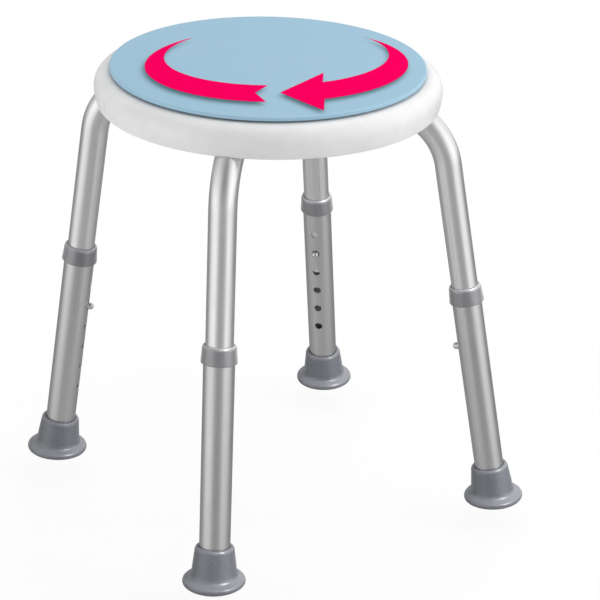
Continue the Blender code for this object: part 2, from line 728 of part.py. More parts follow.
def build_legs(mats):
    # parts in the leg frame: (template, height along the leg)
    parts = {
        "leg_extension": (make_extension(mats), 0),
        "leg_collar": (make_collar(mats), 0),
        "foot_washer": (make_foot_washer(mats), 0),
        "button_spring": (make_spring(mats), 0),
        "snap_button": (make_button(mats), BUTTON_T),
    }
    foot = make_foot(mats)
    for leg, angle in LEGS.items():
        axis = empty("leg_axis_" + leg, leg_matrix(angle))
        floor_place = turn(angle) @ Matrix.Translation((FOOT_CENTRE, 0, 0))
        level = empty("leg_floor_" + leg, floor_place)
        for part, (template, height) in parts.items():
            instance(f"{part}_{leg}", template, axis, (0, 0, height))
        instance("rubber_foot_" + leg, foot, level)
    for template in [template for template, _ in parts.values()] + [foot]:
        bpy.data.objects.remove(template)


def main():
    for obj in list(bpy.data.objects):
        bpy.data.objects.remove(obj, do_unlink=True)
    mats = {name: material(name, *look) for name, look in MATERIALS.items()}
    for build in (build_seat_base, build_swivel_disc, build_arrow, build_glide_ring,
                  build_pivot_bolt, build_pivot_bush, build_pivot_washer, build_pivot_nut,
                  build_frame_tubes, build_saddles, build_legs):
        build(mats)
    bpy.context.view_layer.update()


main()
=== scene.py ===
"""Looks for the height-adjustable swivel stool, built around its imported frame.

Lengths in the mesh code are millimetres unless a name says otherwise.
"""

import json
import math

import bmesh
import bpy
import numpy as np
from mathutils import Matrix, Vector

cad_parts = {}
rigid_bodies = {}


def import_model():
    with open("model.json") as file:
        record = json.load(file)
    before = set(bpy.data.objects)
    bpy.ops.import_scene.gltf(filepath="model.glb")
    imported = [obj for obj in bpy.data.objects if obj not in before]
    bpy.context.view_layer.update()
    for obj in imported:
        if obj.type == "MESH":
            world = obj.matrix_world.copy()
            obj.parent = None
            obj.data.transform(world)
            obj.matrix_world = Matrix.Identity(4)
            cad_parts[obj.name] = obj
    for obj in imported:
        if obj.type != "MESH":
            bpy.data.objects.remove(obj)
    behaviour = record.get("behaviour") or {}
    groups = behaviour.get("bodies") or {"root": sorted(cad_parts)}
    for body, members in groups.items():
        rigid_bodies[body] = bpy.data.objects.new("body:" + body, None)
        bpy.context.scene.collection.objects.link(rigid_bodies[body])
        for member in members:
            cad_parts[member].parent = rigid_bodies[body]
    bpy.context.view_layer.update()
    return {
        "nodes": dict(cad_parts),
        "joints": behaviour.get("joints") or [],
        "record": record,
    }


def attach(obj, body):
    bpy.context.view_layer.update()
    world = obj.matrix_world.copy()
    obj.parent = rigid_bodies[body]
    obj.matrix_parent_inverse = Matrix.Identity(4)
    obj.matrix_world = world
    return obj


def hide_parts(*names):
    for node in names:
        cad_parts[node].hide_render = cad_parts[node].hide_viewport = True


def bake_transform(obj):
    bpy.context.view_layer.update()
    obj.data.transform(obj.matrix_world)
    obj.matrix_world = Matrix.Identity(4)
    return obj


MM = 0.001

# ---------------------------------------------------------------- dimensions
DISC_R, DISC_TOP, DISC_UNDER = 145.0, 427.9, 424.2
HUB_R, HUB_BOTTOM = 20.0, 418.0
HEAD_POCKET = (419.8, 425.4)
DISC_RIBS = 8

RIM_R, RIM_Z = 160.0, 408.0
SHOULDER_R, SHOULDER_Z = 145.5, 422.4
SKIRT_BOTTOM, WALL = 393.4, 3.0
PLATE_TOP, PLATE_UNDER = 419.2, 415.7
POCKET_R, POCKET_TOP, POCKET_UNDER = 21.5, 415.8, 413.2
GLIDE_R, GLIDE_Z = (115.0, 125.0), (417.9, 423.9)

UPPER_R, UPPER_WALL = 12.7, 1.5
RUN_Z, LEG_R_AT_RUN, SPLAY, BEND_R = 400.0, 161.2, math.atan(0.162), 62.0
UPPER_END_Z = 143.8
PRESS_A, PRESS_B, PRESS_SHIFT, PRESS_FROM, PRESS_TO = 17.5, 5.95, 6.45, 80.0, 22.0
PIVOT_HOLE_R = 6.6

LOWER_R, LOWER_BORE, LOWER_FROM, LOWER_TO = 14.3, 13.1, 12.5, 226.0
HOLE_COUNT, HOLE_PITCH, HOLE_FIRST, HOLE_R = 6, 22.5, 191.2, 4.0
BUTTON_T = HOLE_FIRST - HOLE_PITCH
COLLAR_FROM, COLLAR_TO, COLLAR_R, COLLAR_TOP_R = 214.8, 231.8, 16.7, 15.6
BUTTON_R, BUTTON_TIP, BUTTON_BORE_R = 3.25, 19.4, 3.7
FOOT_TOP, FOOT_BORE = 39.2, 14.65
FOOT_CENTRE = LEG_R_AT_RUN + RUN_Z * math.tan(SPLAY)

SADDLE_AT, SADDLE_LEN, SADDLE_SCREW = 95.0, 22.0, 22.5

ARROW_OUTER = (7.1, -2.9, 122.3, 103.8, -12.8)
ARROW_INNER = (19.5, 18.2, 105.4, 83.8, -14.8)
ARROW_Z = (427.86, 428.0)
TAIL_END, TAIL_TIP, TAIL_NOTCH = -32.5, -165.3, (-40.0, 81.7)
HEAD_SHAFT_OUT, HEAD_SHAFT_IN, HEAD_TIP_END = -3.6, 13.6, 102.7
HEAD_CORNER_OUT, HEAD_CORNER_IN, HEAD_POINT = (-10.1, 133.6), (34.6, 53.9), (-24.1, 79.8)

LEGS = {"fr": -45.0, "br": 45.0, "bl": 135.0, "fl": 225.0}
VIEW_AZIMUTH = -30.686           # the photographer's side, from -Y towards +X

TUBE_SEGS = 56


# ============================================================ mesh building
def mesh_object(name, verts, faces, mat=None, smooth=35.0):
    """Object from millimetre coordinates, with outward normals."""
    me = bpy.data.meshes.new(name)
    me.from_pydata([(v[0] * MM, v[1] * MM, v[2] * MM) for v in verts], [], faces)
    bm = bmesh.new()
    bm.from_mesh(me)
    bmesh.ops.recalc_face_normals(bm, faces=bm.faces)
    bm.to_mesh(me)
    bm.free()
    me.update()
    o = bpy.data.objects.new(name, me)
    bpy.context.scene.collection.objects.link(o)
    if mat:
        me.materials.append(mat)
    if smooth:
        shade(o, smooth)
    return o


def shade(o, angle=35.0):
    o.data.shade_smooth()
    o.data.set_sharp_from_angle(angle=math.radians(angle))
    return o


def combine(obj, tool, operation="DIFFERENCE"):
    mod = obj.modifiers.new("cut", "BOOLEAN")
    mod.operation = operation
    mod.solver = "EXACT"
    mod.object = tool
    bpy.context.view_layer.update()
    dg = bpy.context.evaluated_depsgraph_get()
    new = bpy.data.meshes.new_from_object(obj.evaluated_get(dg))
    old = obj.data
    mats = [m for m in old.materials]
    obj.modifiers.clear()
    obj.data = new
    new.name = obj.name
    new.materials.clear()
    for m in mats[:1]:
        new.materials.append(m)
    new.polygons.foreach_set("material_index", [0] * len(new.polygons))
    bpy.data.meshes.remove(old)
    bpy.data.objects.remove(tool, do_unlink=True)
    return obj


def bevelled(obj, width, angle=40.0, segments=2):
    """Rounds the hard edges of a finished solid and applies the result."""
    mod = obj.modifiers.new("round", "BEVEL")
    mod.width = width * MM
    mod.segments = segments
    mod.limit_method = "ANGLE"
    mod.angle_limit = math.radians(angle)
    mod.harden_normals = False
    bpy.context.view_layer.update()
    dg = bpy.context.evaluated_depsgraph_get()
    new = bpy.data.meshes.new_from_object(obj.evaluated_get(dg))
    old = obj.data
    obj.modifiers.clear()
    obj.data = new
    new.name = obj.name
    bpy.data.meshes.remove(old)
    return obj


def joined(*geometries):
    verts, faces = [], []
    for v, f in geometries:
        base = len(verts)
        verts += v
        faces += [[i + base for i in face] for face in f]
    return verts, faces


def placed(geometry, matrix):
    verts, faces = geometry
    return [tuple(matrix @ Vector(v)) for v in verts], faces


def turn(angle):
    return Matrix.Rotation(math.radians(angle), 4, "Z")


def rounded(points, closed=False, step=14.0):
    """Rounds the corners of a polyline.  Each point is (x, y) or (x, y, radius)."""
    pts = [Vector(p[:2]) for p in points]
    rad = [p[2] if len(p) > 2 else 0.0 for p in points]
    n = len(pts)
    out = []
    for i in range(n):
        p, rho = pts[i], rad[i]
        if rho <= 0 or (not closed and i in (0, n - 1)):
            out.append((p.x, p.y))
            continue
        a, b = pts[i - 1], pts[(i + 1) % n]
        d1, d2 = (p - a), (b - p)
        l1, l2 = d1.length, d2.length
        d1, d2 = d1 / l1, d2 / l2
        cross, dot = d1.x * d2.y - d1.y * d2.x, max(-1.0, min(1.0, d1.dot(d2)))
        theta = math.acos(dot)
        if theta < 0.02:
            out.append((p.x, p.y))
            continue
        t = min(rho * math.tan(theta / 2), 0.49 * l1, 0.49 * l2)
        r = t / math.tan(theta / 2)
        s = 1.0 if cross > 0 else -1.0
        c = p - d1 * t + Vector((-d1.y, d1.x)) * s * r
        start = p - d1 * t - c
        k = max(2, int(math.ceil(math.degrees(theta) / step)))
        for j in range(k + 1):
            q = theta * j / k * s
            out.append((c.x + start.x * math.cos(q) - start.y * math.sin(q),
                        c.y + start.x * math.sin(q) + start.y * math.cos(q)))
    return out


def spline(points, steps):
    """Centripetal Catmull-Rom curve through points of any dimension."""
    pts = [Vector(p) for p in points]
    pts = [pts[0] * 2 - pts[1]] + pts + [pts[-1] * 2 - pts[-2]]
    out = []
    for i in range(1, len(pts) - 2):
        p0, p1, p2, p3 = pts[i - 1:i + 3]
        t0 = 0.0
        t1 = t0 + math.sqrt((p1 - p0).length)
        t2 = t1 + math.sqrt((p2 - p1).length)
        t3 = t2 + math.sqrt((p3 - p2).length)
        for j in range(steps):
            t = t1 + (t2 - t1) * j / steps
            a1 = (t1 - t) / (t1 - t0) * p0 + (t - t0) / (t1 - t0) * p1
            a2 = (t2 - t) / (t2 - t1) * p1 + (t - t1) / (t2 - t1) * p2
            a3 = (t3 - t) / (t3 - t2) * p2 + (t - t2) / (t3 - t2) * p3
            b1 = (t2 - t) / (t2 - t0) * a1 + (t - t0) / (t2 - t0) * a2
            b2 = (t3 - t) / (t3 - t1) * a2 + (t - t1) / (t3 - t1) * a3
            out.append(tuple((t2 - t) / (t2 - t1) * b1 + (t - t1) / (t2 - t1) * b2))
    out.append(tuple(pts[-2]))
    return out


def lathe(profile, segs, radius=None):
    """Turns an (r, z) loop about Z.  radius(r, z, angle) may change r."""
    on_axis = profile[0][0] < 1e-6 and profile[-1][0] < 1e-6
    verts, rows = [], []
    for r, z in profile:
        if r < 1e-6:
            rows.append([len(verts)] * segs)
            verts.append((0.0, 0.0, z))
        else:
            rows.append(list(range(len(verts), len(verts) + segs)))
            for k in range(segs):
                a = 2 * math.pi * k / segs
                q = radius(r, z, a) if radius else r
                verts.append((q * math.cos(a), q * math.sin(a), z))
    faces = []
    pairs = list(zip(rows, rows[1:]))
    if not on_axis:
        pairs.append((rows[-1], rows[0]))
    for p, q in pairs:
        for k in range(segs):
            n = (k + 1) % segs
            f = [p[k], p[n], q[n], q[k]]
            f = [v for i, v in enumerate(f) if v not in f[:i]]
            if len(f) > 2:
                faces.append(f)
    return verts, faces


def prism(outline, z0, z1):
    n = len(outline)
    verts = [(x, y, z0) for x, y in outline] + [(x, y, z1) for x, y in outline]
    faces = [list(range(n)), list(range(n, 2 * n))]
    faces += [[k, (k + 1) % n, n + (k + 1) % n, n + k] for k in range(n)]
    return verts, faces


def cylinder(r, z0, z1, segs):
    return prism([(r * math.cos(2 * math.pi * k / segs),
                   r * math.sin(2 * math.pi * k / segs)) for k in range(segs)], z0, z1)


def block(x0, x1, y0, y1, z0, z1):
    return prism([(x0, y0), (x1, y0), (x1, y1), (x0, y1)], z0, z1)


def rings_to_tube(outer, inner=None):
    n = len(outer[0])
    verts = [v for ring in outer for v in ring]
    faces = []

    def skin(base, count):
        for i in range(count - 1):
            for k in range(n):
                a, b = base + i * n + k, base + i * n + (k + 1) % n
                faces.append([a, b, b + n, a + n])

    skin(0, len(outer))
    last = (len(outer) - 1) * n
    if inner:
        base = len(verts)
        verts += [v for ring in inner for v in ring]
        skin(base, len(inner))
        end = base + (len(inner) - 1) * n
        for k in range(n):
            m = (k + 1) % n
            faces.append([k, m, base + m, base + k])
            faces.append([last + k, last + m, end + m, end + k])
    else:
        faces.append(list(range(n)))
        faces.append(list(range(last, last + n)))
    return verts, faces


def coords(me):
    co = np.zeros(len(me.vertices) * 3)
    me.vertices.foreach_get("co", co)
    return co.reshape(-1, 3) / MM


def store(me, name, values):
    """Per-vertex numbers or vectors for the shaders."""
    values = np.asarray(values, np.float32)
    kind = "FLOAT_VECTOR" if values.ndim == 2 else "FLOAT"
    at = me.attributes.get(name) or me.attributes.new(name, kind, "POINT")
    at.data.foreach_set("vector" if values.ndim == 2 else "value", values.ravel())


# ============================================================== shader nodes
class Shader:
    """Small helper for writing node trees."""

    def __init__(self, name):
        self.mat = bpy.data.materials.new(name)
        self.mat.use_nodes = True
        self.tree = self.mat.node_tree
        self.tree.nodes.clear()
        self.out = self.add("ShaderNodeOutputMaterial")
        self.bsdf = self.add("ShaderNodeBsdfPrincipled")
        self.tree.links.new(self.bsdf.outputs[0], self.out.inputs["Surface"])

    def add(self, kind, **props):
        n = self.tree.nodes.new(kind)
        for k, v in props.items():
            setattr(n, k, v)
        return n

    def put(self, socket, value):
        if isinstance(value, bpy.types.NodeSocket):
            self.tree.links.new(value, socket)
        elif isinstance(value, (tuple, list)) and len(value) == 3 and socket.type == "RGBA":
            socket.default_value = (*value, 1.0)
        else:
            socket.default_value = value

    def set(self, **inputs):
        for k, v in inputs.items():
            self.put(self.bsdf.inputs[k.replace("_", " ")], v)
        return self

    def math(self, op, a, b=0.0, c=0.0, clamp=False):
        n = self.add("ShaderNodeMath", operation=op, use_clamp=clamp)
        for s, v in zip(n.inputs, (a, b, c)):
            self.put(s, v)
        return n.outputs[0]

    def vmath(self, op, a, b=(0, 0, 0)):
        n = self.add("ShaderNodeVectorMath", operation=op)
        self.put(n.inputs[0], a)
        self.put(n.inputs[1], b)
        return n.outputs["Value"] if op in ("DOT_PRODUCT", "LENGTH") else n.outputs["Vector"]

    def scaled(self, vector, factors):
        return self.vmath("MULTIPLY", vector, factors)

    def noise(self, vector, scale, detail=3.0, rough=0.55, distortion=0.0):
        n = self.add("ShaderNodeTexNoise")
        self.put(n.inputs["Vector"], vector)
        n.inputs["Scale"].default_value = scale
        n.inputs["Detail"].default_value = detail
        n.inputs["Roughness"].default_value = rough
        n.inputs["Distortion"].default_value = distortion
        return n.outputs[0]

    def voronoi(self, vector, scale, feature="F1", output="Distance"):
        n = self.add("ShaderNodeTexVoronoi", feature=feature)
        self.put(n.inputs["Vector"], vector)
        n.inputs["Scale"].default_value = scale
        return n.outputs[output]

    def span(self, value, a, b, c=0.0, d=1.0, smooth=False):
        n = self.add("ShaderNodeMapRange", clamp=True)
        n.interpolation_type = "SMOOTHSTEP" if smooth else "LINEAR"
        for s, v in zip(n.inputs, (value, a, b, c, d)):
            self.put(s, v)
        return n.outputs[0]

    def mix(self, fac, a, b, blend="MIX"):
        n = self.add("ShaderNodeMix", data_type="RGBA", blend_type=blend)
        n.clamp_factor = True
        self.put(n.inputs[0], fac)
        self.put(n.inputs[6], a)
        self.put(n.inputs[7], b)
        return n.outputs[2]

    def bump(self, height, distance, strength=1.0, normal=None):
        n = self.add("ShaderNodeBump")
        self.put(n.inputs["Height"], height)
        n.inputs["Distance"].default_value = distance
        n.inputs["Strength"].default_value = strength
        if normal is not None:
            self.put(n.inputs["Normal"], normal)
        return n.outputs[0]

    def bevel(self, radius):
        n = self.add("ShaderNodeBevel", samples=4)
        n.inputs["Radius"].default_value = radius
        return n.outputs[0]

    def edge(self, radius):
        """1 on sharp convex edges and in corners, 0 on open surface."""
        g = self.add("ShaderNodeNewGeometry")
        d = self.vmath("DOT_PRODUCT", self.bevel(radius), g.outputs["Normal"])
        return self.span(d, 0.995, 0.85, 0.0, 1.0)

    def occlusion(self, distance):
        n = self.add("ShaderNodeAmbientOcclusion", samples=6)
        n.inputs["Distance"].default_value = distance
        return n.outputs["AO"]

    def object_space(self):
        """Object coordinates, shifted a little for each object so that copies
        of one piece don't share the same pattern."""
        co = self.add("ShaderNodeTexCoord").outputs["Object"]
        info = self.add("ShaderNodeObjectInfo").outputs["Random"]
        n = self.add("ShaderNodeCombineXYZ")
        for s, k in zip(n.inputs, (0.71, 0.37, 0.93)):
            self.put(s, self.math("MULTIPLY", info, k))
        return self.vmath("ADD", co, n.outputs[0])

    def grazing(self, a, b):
        """0 to 1 as the surface turns away from the viewer."""
        return self.span(self.add("ShaderNodeLayerWeight").outputs["Facing"], a, b, 0.0, 1.0, True)

    def upward(self, a, b):
        """0 to 1 as the surface turns to face up the piece's own Z axis."""
        n = self.add("ShaderNodeSeparateXYZ")
        self.put(n.inputs[0], self.add("ShaderNodeTexCoord").outputs["Normal"])
        return self.span(n.outputs[2], a, b, 0.0, 1.0, True)

    def attribute(self, name, vector=False):
        n = self.add("ShaderNodeAttribute", attribute_name=name, attribute_type="GEOMETRY")
        return n.outputs["Vector"] if vector else n.outputs["Fac"]


def srgb(r, g, b):
    def lin(c):
        c /= 255.0
        return c / 12.92 if c <= 0.04045 else ((c + 0.055) / 1.055) ** 2.4
    return (lin(r), lin(g), lin(b))


def scale_rgb(c, k):
    return tuple(x * k for x in c)


# ================================================================= materials
def white_plastic():
    """Injection-moulded polypropylene: faint mottle, orange peel, painted shade darkening the corners."""
    s = Shader("white_plastic")
    co = s.object_space()
    tone = s.noise(co, 22.0, 4.0, 0.6)
    base = s.mix(s.span(tone, 0.35, 0.65), (0.86, 0.86, 0.862), (0.80, 0.80, 0.80))
    # painted shade: ambient occlusion darkens corners and crevices
    painted_corner_shade = s.math("MULTIPLY", s.span(s.occlusion(0.006), 0.25, 0.95, 1.0, 0.0), 0.18)
    s.set(Base_Color=s.mix(painted_corner_shade, base, (0.55, 0.545, 0.53)))
    s.set(Roughness=s.span(s.noise(co, 140.0, 3.0), 0.3, 0.7, 0.27, 0.40))
    peel = s.noise(co, 620.0, 2.0, 0.5)
    sink = s.noise(co, 38.0, 1.0)
    n = s.bump(sink, 0.00022, 1.0, s.bevel(0.0005))
    n = s.bump(peel, 0.000022, 1.0, n)
    s.set(Normal=n, IOR=1.49)
    s.bsdf.inputs["Specular IOR Level"].default_value = 0.35
    s.bsdf.inputs["Subsurface Weight"].default_value = 0.06
    s.bsdf.inputs["Subsurface Radius"].default_value = (0.004, 0.004, 0.0035)
    s.bsdf.inputs["Subsurface Scale"].default_value = 1.0
    return s.mat


def blue_plastic():
    """Satin ABS disc with a fine pebble, and the arrow's soft drop shadow painted on beside it."""
    s = Shader("blue_plastic")
    co = s.object_space()
    tone = s.noise(co, 9.0, 5.0, 0.6)
    base = s.mix(s.span(tone, 0.3, 0.7), (0.372, 0.585, 0.735), (0.345, 0.560, 0.712))
    speck = s.noise(co, 900.0, 2.0, 0.6)
    base = s.mix(s.span(speck, 0.55, 0.75, 0.0, 0.10), base, (0.50, 0.70, 0.82))
    # painted shadow: the arrow's soft drop shadow in dark teal, offset towards the viewer
    shade_amount = s.attribute("arrow_shade")
    base = s.mix(s.math("MULTIPLY", shade_amount, 1.0), base, (0.05, 0.13, 0.165))
    # painted highlight: pale blue along the disc's edges
    base = s.mix(s.math("MULTIPLY", s.edge(0.0008), 0.6), base, (0.64, 0.79, 0.92))
    # painted shade: ambient occlusion darkens the hollows under and around the disc
    painted_corner_shade = s.math("MULTIPLY", s.span(s.occlusion(0.003), 0.2, 0.9, 1.0, 0.0), 0.25)
    s.set(Base_Color=s.mix(painted_corner_shade, base, (0.16, 0.22, 0.27)))
    # fine circular wipe marks around the pivot
    g = s.add("ShaderNodeSeparateXYZ")
    s.put(g.inputs[0], s.add("ShaderNodeTexCoord").outputs["Object"])
    radius = s.math("SQRT", s.math("ADD", s.math("MULTIPLY", g.outputs[0], g.outputs[0]),
                                   s.math("MULTIPLY", g.outputs[1], g.outputs[1])))
    ring = s.add("ShaderNodeCombineXYZ")
    s.put(ring.inputs[0], s.math("MULTIPLY", radius, 1400.0))
    s.put(ring.inputs[1], s.math("MULTIPLY", s.math("ARCTAN2", g.outputs[1], g.outputs[0]), 0.8))
    wipe = s.noise(ring.outputs[0], 1.0, 3.0, 0.7)
    rough = s.math("ADD", s.span(tone, 0.3, 0.7, 0.40, 0.47), s.span(wipe, 0.45, 0.8, 0.0, 0.06))
    s.set(Roughness=rough, IOR=1.5)
    pebble = s.voronoi(co, 1150.0, "SMOOTH_F1")
    n = s.bump(pebble, 0.000035, 1.0, s.bevel(0.0005))
    n = s.bump(s.noise(co, 26.0, 2.0), 0.00012, 1.0, n)
    s.set(Normal=n)
    return s.mat


def magenta_vinyl():
    s = Shader("magenta_vinyl")
    co = s.object_space()
    tone = s.noise(co, 60.0, 4.0, 0.6)
    base = s.mix(s.span(tone, 0.3, 0.7), (0.975, 0.0006, 0.118), (0.93, 0.0006, 0.108))
    # darker purple along the film's cut edges
    s.set(Base_Color=s.mix(s.math("MULTIPLY", s.edge(0.0005), 0.8), base, (0.30, 0.002, 0.13)))
    s.set(Roughness=s.span(s.noise(co, 400.0, 3.0), 0.3, 0.7, 0.36, 0.5), IOR=1.45)
    n = s.bump(s.voronoi(co, 1150.0, "SMOOTH_F1"), 0.00002, 1.0, s.bevel(0.00015))
    s.set(Normal=n)
    s.bsdf.inputs["Specular IOR Level"].default_value = 0.0
    return s.mat


def aluminium(name, tone_a, tone_b, rough_a, rough_b, lines, bore, hollow_shade_strength, pressed=0.0):
    """Satin anodised tube: long draw lines, a few cross scuffs, fine matt speckle.
    The bore (radius below the given one) is left matt and pale, but not in the
    middle of a frame tube, where the outer wall is pressed flat."""
    s = Shader(name)
    rod = s.attribute("rod", True)                 # across, across, along in metres
    inside_wall = s.span(s.vmath("LENGTH", s.scaled(rod, (1.0, 1.0, 0.0))), bore + 0.0002, bore - 0.0002, 0.0, 1.0)
    reach = s.vmath("LENGTH", s.scaled(rod, (0.0, 0.0, 1.0)))
    inside_wall = s.math("MULTIPLY", inside_wall, s.span(reach, pressed - 0.001, pressed, 0.0, 1.0))
    along = s.scaled(rod, (900.0, 900.0, 5.0))
    draw = s.noise(along, 1.0, 4.0, 0.65)
    coarse = s.noise(s.scaled(rod, (260.0, 260.0, 2.2)), 1.0, 2.0, 0.5)
    speckle = s.noise(rod, 2600.0, 2.0, 0.6)
    cloud = s.noise(rod, 30.0, 4.0, 0.6)
    mixed = s.math("ADD", s.math("MULTIPLY", draw, 0.45), s.math("MULTIPLY", coarse, 0.35))
    mixed = s.math("ADD", mixed, s.math("MULTIPLY", speckle, 0.2))
    base = s.mix(s.span(mixed, 0.36, 0.64), tone_a, tone_b)
    # rubbed rings where the tubes slide in each other
    scuff = s.noise(s.scaled(rod, (60.0, 60.0, 1500.0)), 1.0, 3.0, 0.6)
    patch = s.noise(s.scaled(rod, (45.0, 45.0, 24.0)), 1.0, 3.0, 0.6)
    rub = s.math("MULTIPLY", s.span(scuff, 0.58, 0.72), s.span(patch, 0.56, 0.66))
    base = s.mix(s.math("MULTIPLY", rub, 0.25), base, (0.86, 0.86, 0.87))
    wear = s.math("MULTIPLY", s.edge(0.0005), 0.5)
    base = s.mix(wear, base, (0.90, 0.90, 0.91))
    # painted shade: ambient occlusion darkens the tube in hollows and where it meets other parts
    painted_hollow_shade = s.span(s.occlusion(0.006), 0.15, 0.85, hollow_shade_strength, 0.0)
    base = s.mix(painted_hollow_shade, base, (0.16, 0.16, 0.165))
    base = s.mix(inside_wall, base, s.mix(s.span(coarse, 0.4, 0.6), (0.93, 0.93, 0.94), (0.86, 0.86, 0.87)))
    s.set(Base_Color=base, Metallic=s.math("SUBTRACT", 1.0, inside_wall))
    rough = s.span(s.math("ADD", s.math("MULTIPLY", cloud, 0.5), s.math("MULTIPLY", mixed, 0.5)),
                   0.38, 0.62, rough_a, rough_b)
    s.set(Roughness=s.math("ADD", rough, s.math("MULTIPLY", inside_wall, 0.35)))
    n = s.bump(draw, 0.000012 * lines, 1.0, s.bevel(0.0004))
    n = s.bump(speckle, 0.000006, 1.0, n)
    s.set(Normal=n)
    return s.mat


def grey_plastic():
    """Collar: grey moulded nylon, satin, fine spark-eroded grain."""
    s = Shader("grey_plastic")
    co = s.object_space()
    tone = s.noise(co, 70.0, 4.0, 0.6)
    base = s.mix(s.span(tone, 0.3, 0.7), (0.094, 0.096, 0.105), (0.080, 0.081, 0.090))
    # painted highlight: lighter grey along the collar's edges and lip
    base = s.mix(s.math("MULTIPLY", s.edge(0.0006), 0.35), base, (0.34, 0.345, 0.36))
    # painted light: faces turned up are lighter, as if lit from above
    base = s.mix(s.math("MULTIPLY", s.upward(0.15, 0.8), 0.75), base, (0.40, 0.405, 0.42))
    # painted sheen: lighter where the surface turns away from the viewer
    base = s.mix(s.math("MULTIPLY", s.grazing(0.35, 0.85), 0.75), base, (0.42, 0.425, 0.44))
    # painted shade: ambient occlusion darkens the hollows
    painted_corner_shade = s.span(s.occlusion(0.002), 0.1, 0.7, 0.18, 0.0)
    s.set(Base_Color=s.mix(painted_corner_shade, base, (0.05, 0.05, 0.052)))
    s.set(Roughness=s.span(s.noise(co, 500.0, 3.0), 0.3, 0.7, 0.28, 0.40), IOR=2.0)
    n = s.bump(s.noise(co, 1800.0, 3.0, 0.7), 0.00002, 1.0, s.bevel(0.0005))
    s.set(Normal=n)
    s.bsdf.inputs["Specular IOR Level"].default_value = 0.9
    return s.mat


def grey_rubber():
    """Foot: grey rubber with moulding grain and scuffs near the floor; upward faces get painted light and the outline a
    painted sheen.
    """
    s = Shader("grey_rubber")
    co = s.object_space()
    tone = s.noise(co, 55.0, 5.0, 0.65)
    base = s.mix(s.span(tone, 0.3, 0.7), (0.119, 0.125, 0.143), (0.099, 0.104, 0.120))
    g = s.add("ShaderNodeSeparateXYZ")
    s.put(g.inputs[0], s.add("ShaderNodeTexCoord").outputs["Object"])
    low = s.span(g.outputs[2], 0.0, 0.007, 1.0, 0.0)
    scuff = s.math("MULTIPLY", low, s.span(s.noise(co, 420.0, 4.0, 0.7), 0.45, 0.7))
    base = s.mix(s.math("MULTIPLY", scuff, 0.5), base, (0.26, 0.26, 0.265))
    # painted highlight: lighter grey along the foot's edges
    base = s.mix(s.math("MULTIPLY", s.edge(0.0007), 0.3), base, (0.25, 0.257, 0.275))
    # painted light: faces turned up are lighter, as if lit from above
    base = s.mix(s.math("MULTIPLY", s.upward(0.2, 0.9), 0.45), base, (0.25, 0.258, 0.28))
    # painted sheen: lighter where the surface turns away from the viewer
    base = s.mix(s.math("MULTIPLY", s.grazing(0.45, 0.95), 0.35), base, (0.28, 0.288, 0.31))
    # painted shade: ambient occlusion darkens the hollows
    painted_corner_shade = s.span(s.occlusion(0.003), 0.1, 0.8, 0.2, 0.0)
    s.set(Base_Color=s.mix(painted_corner_shade, base, (0.035, 0.035, 0.04)))
    s.set(Roughness=s.span(s.noise(co, 240.0, 4.0, 0.6), 0.3, 0.7, 0.26, 0.36))
    n = s.bump(s.noise(co, 42.0, 2.0), 0.0003, 1.0, s.bevel(0.0008))
    n = s.bump(s.noise(co, 1500.0, 3.0, 0.7), 0.00003, 1.0, n)
    s.set(Normal=n)
    s.bsdf.inputs["Specular IOR Level"].default_value = 0.8
    return s.mat


def acetal():
    s = Shader("acetal")
    co = s.object_space()
    tone = s.noise(co, 80.0, 3.0)
    s.set(Base_Color=s.mix(s.span(tone, 0.3, 0.7), (0.80, 0.79, 0.74), (0.73, 0.715, 0.655)))
    s.set(Roughness=s.span(s.noise(co, 300.0, 3.0), 0.3, 0.7, 0.3, 0.45))
    s.set(Normal=s.bump(s.noise(co, 1200.0, 2.0), 0.00002, 1.0, s.bevel(0.0003)))
    return s.mat


def zinc_steel():
    """Bright zinc plate: blotchy passivation, fine grain, rubbed edges."""
    s = Shader("zinc_steel")
    co = s.object_space()
    blotch = s.voronoi(co, 420.0, "F1", "Color")
    grey = s.add("ShaderNodeRGBToBW")
    s.put(grey.inputs[0], blotch)
    tone = s.noise(co, 160.0, 4.0, 0.6)
    base = s.mix(s.span(tone, 0.35, 0.65), (0.68, 0.685, 0.69), (0.60, 0.60, 0.575))
    base = s.mix(s.math("MULTIPLY", grey.outputs[0], 0.22), base, (0.74, 0.75, 0.79))
    base = s.mix(s.math("MULTIPLY", s.edge(0.0004), 0.5), base, (0.86, 0.86, 0.87))
    # painted shade: ambient occlusion darkens the recesses
    painted_corner_shade = s.span(s.occlusion(0.003), 0.2, 0.9, 0.55, 0.0)
    s.set(Base_Color=s.mix(painted_corner_shade, base, (0.12, 0.115, 0.11)), Metallic=1.0)
    s.set(Roughness=s.span(s.noise(co, 500.0, 3.0), 0.3, 0.7, 0.24, 0.42))
    s.set(Normal=s.bump(s.noise(co, 1500.0, 3.0), 0.00002, 1.0, s.bevel(0.0004)))
    return s.mat


def polished_steel():
    s = Shader("polished_steel")
    co = s.object_space()
    lines = s.noise(s.scaled(co, (300.0, 2600.0, 2600.0)), 1.0, 3.0)
    s.set(Base_Color=s.mix(s.span(lines, 0.35, 0.65), (0.70, 0.70, 0.71), (0.54, 0.54, 0.55)), Metallic=1.0)
    s.set(Roughness=s.span(s.noise(co, 700.0, 3.0), 0.3, 0.7, 0.10, 0.22))
    s.set(Normal=s.bump(lines, 0.000006, 1.0, s.bevel(0.0003)))
    return s.mat


def spring_steel():
    s = Shader("spring_steel")
    co = s.object_space()
    tone = s.noise(s.scaled(co, (500.0, 60.0, 60.0)), 1.0, 4.0, 0.6)
    base = s.mix(s.span(tone, 0.35, 0.65), (0.30, 0.31, 0.34), (0.44, 0.43, 0.42))
    base = s.mix(s.math("MULTIPLY", s.edge(0.0003), 0.6), base, (0.7, 0.7, 0.7))
    s.set(Base_Color=base, Metallic=1.0)
    s.set(Roughness=s.span(s.noise(co, 400.0, 3.0), 0.3, 0.7, 0.25, 0.42))
    s.set(Normal=s.bump(tone, 0.00001, 1.0, s.bevel(0.0002)))
    return s.mat


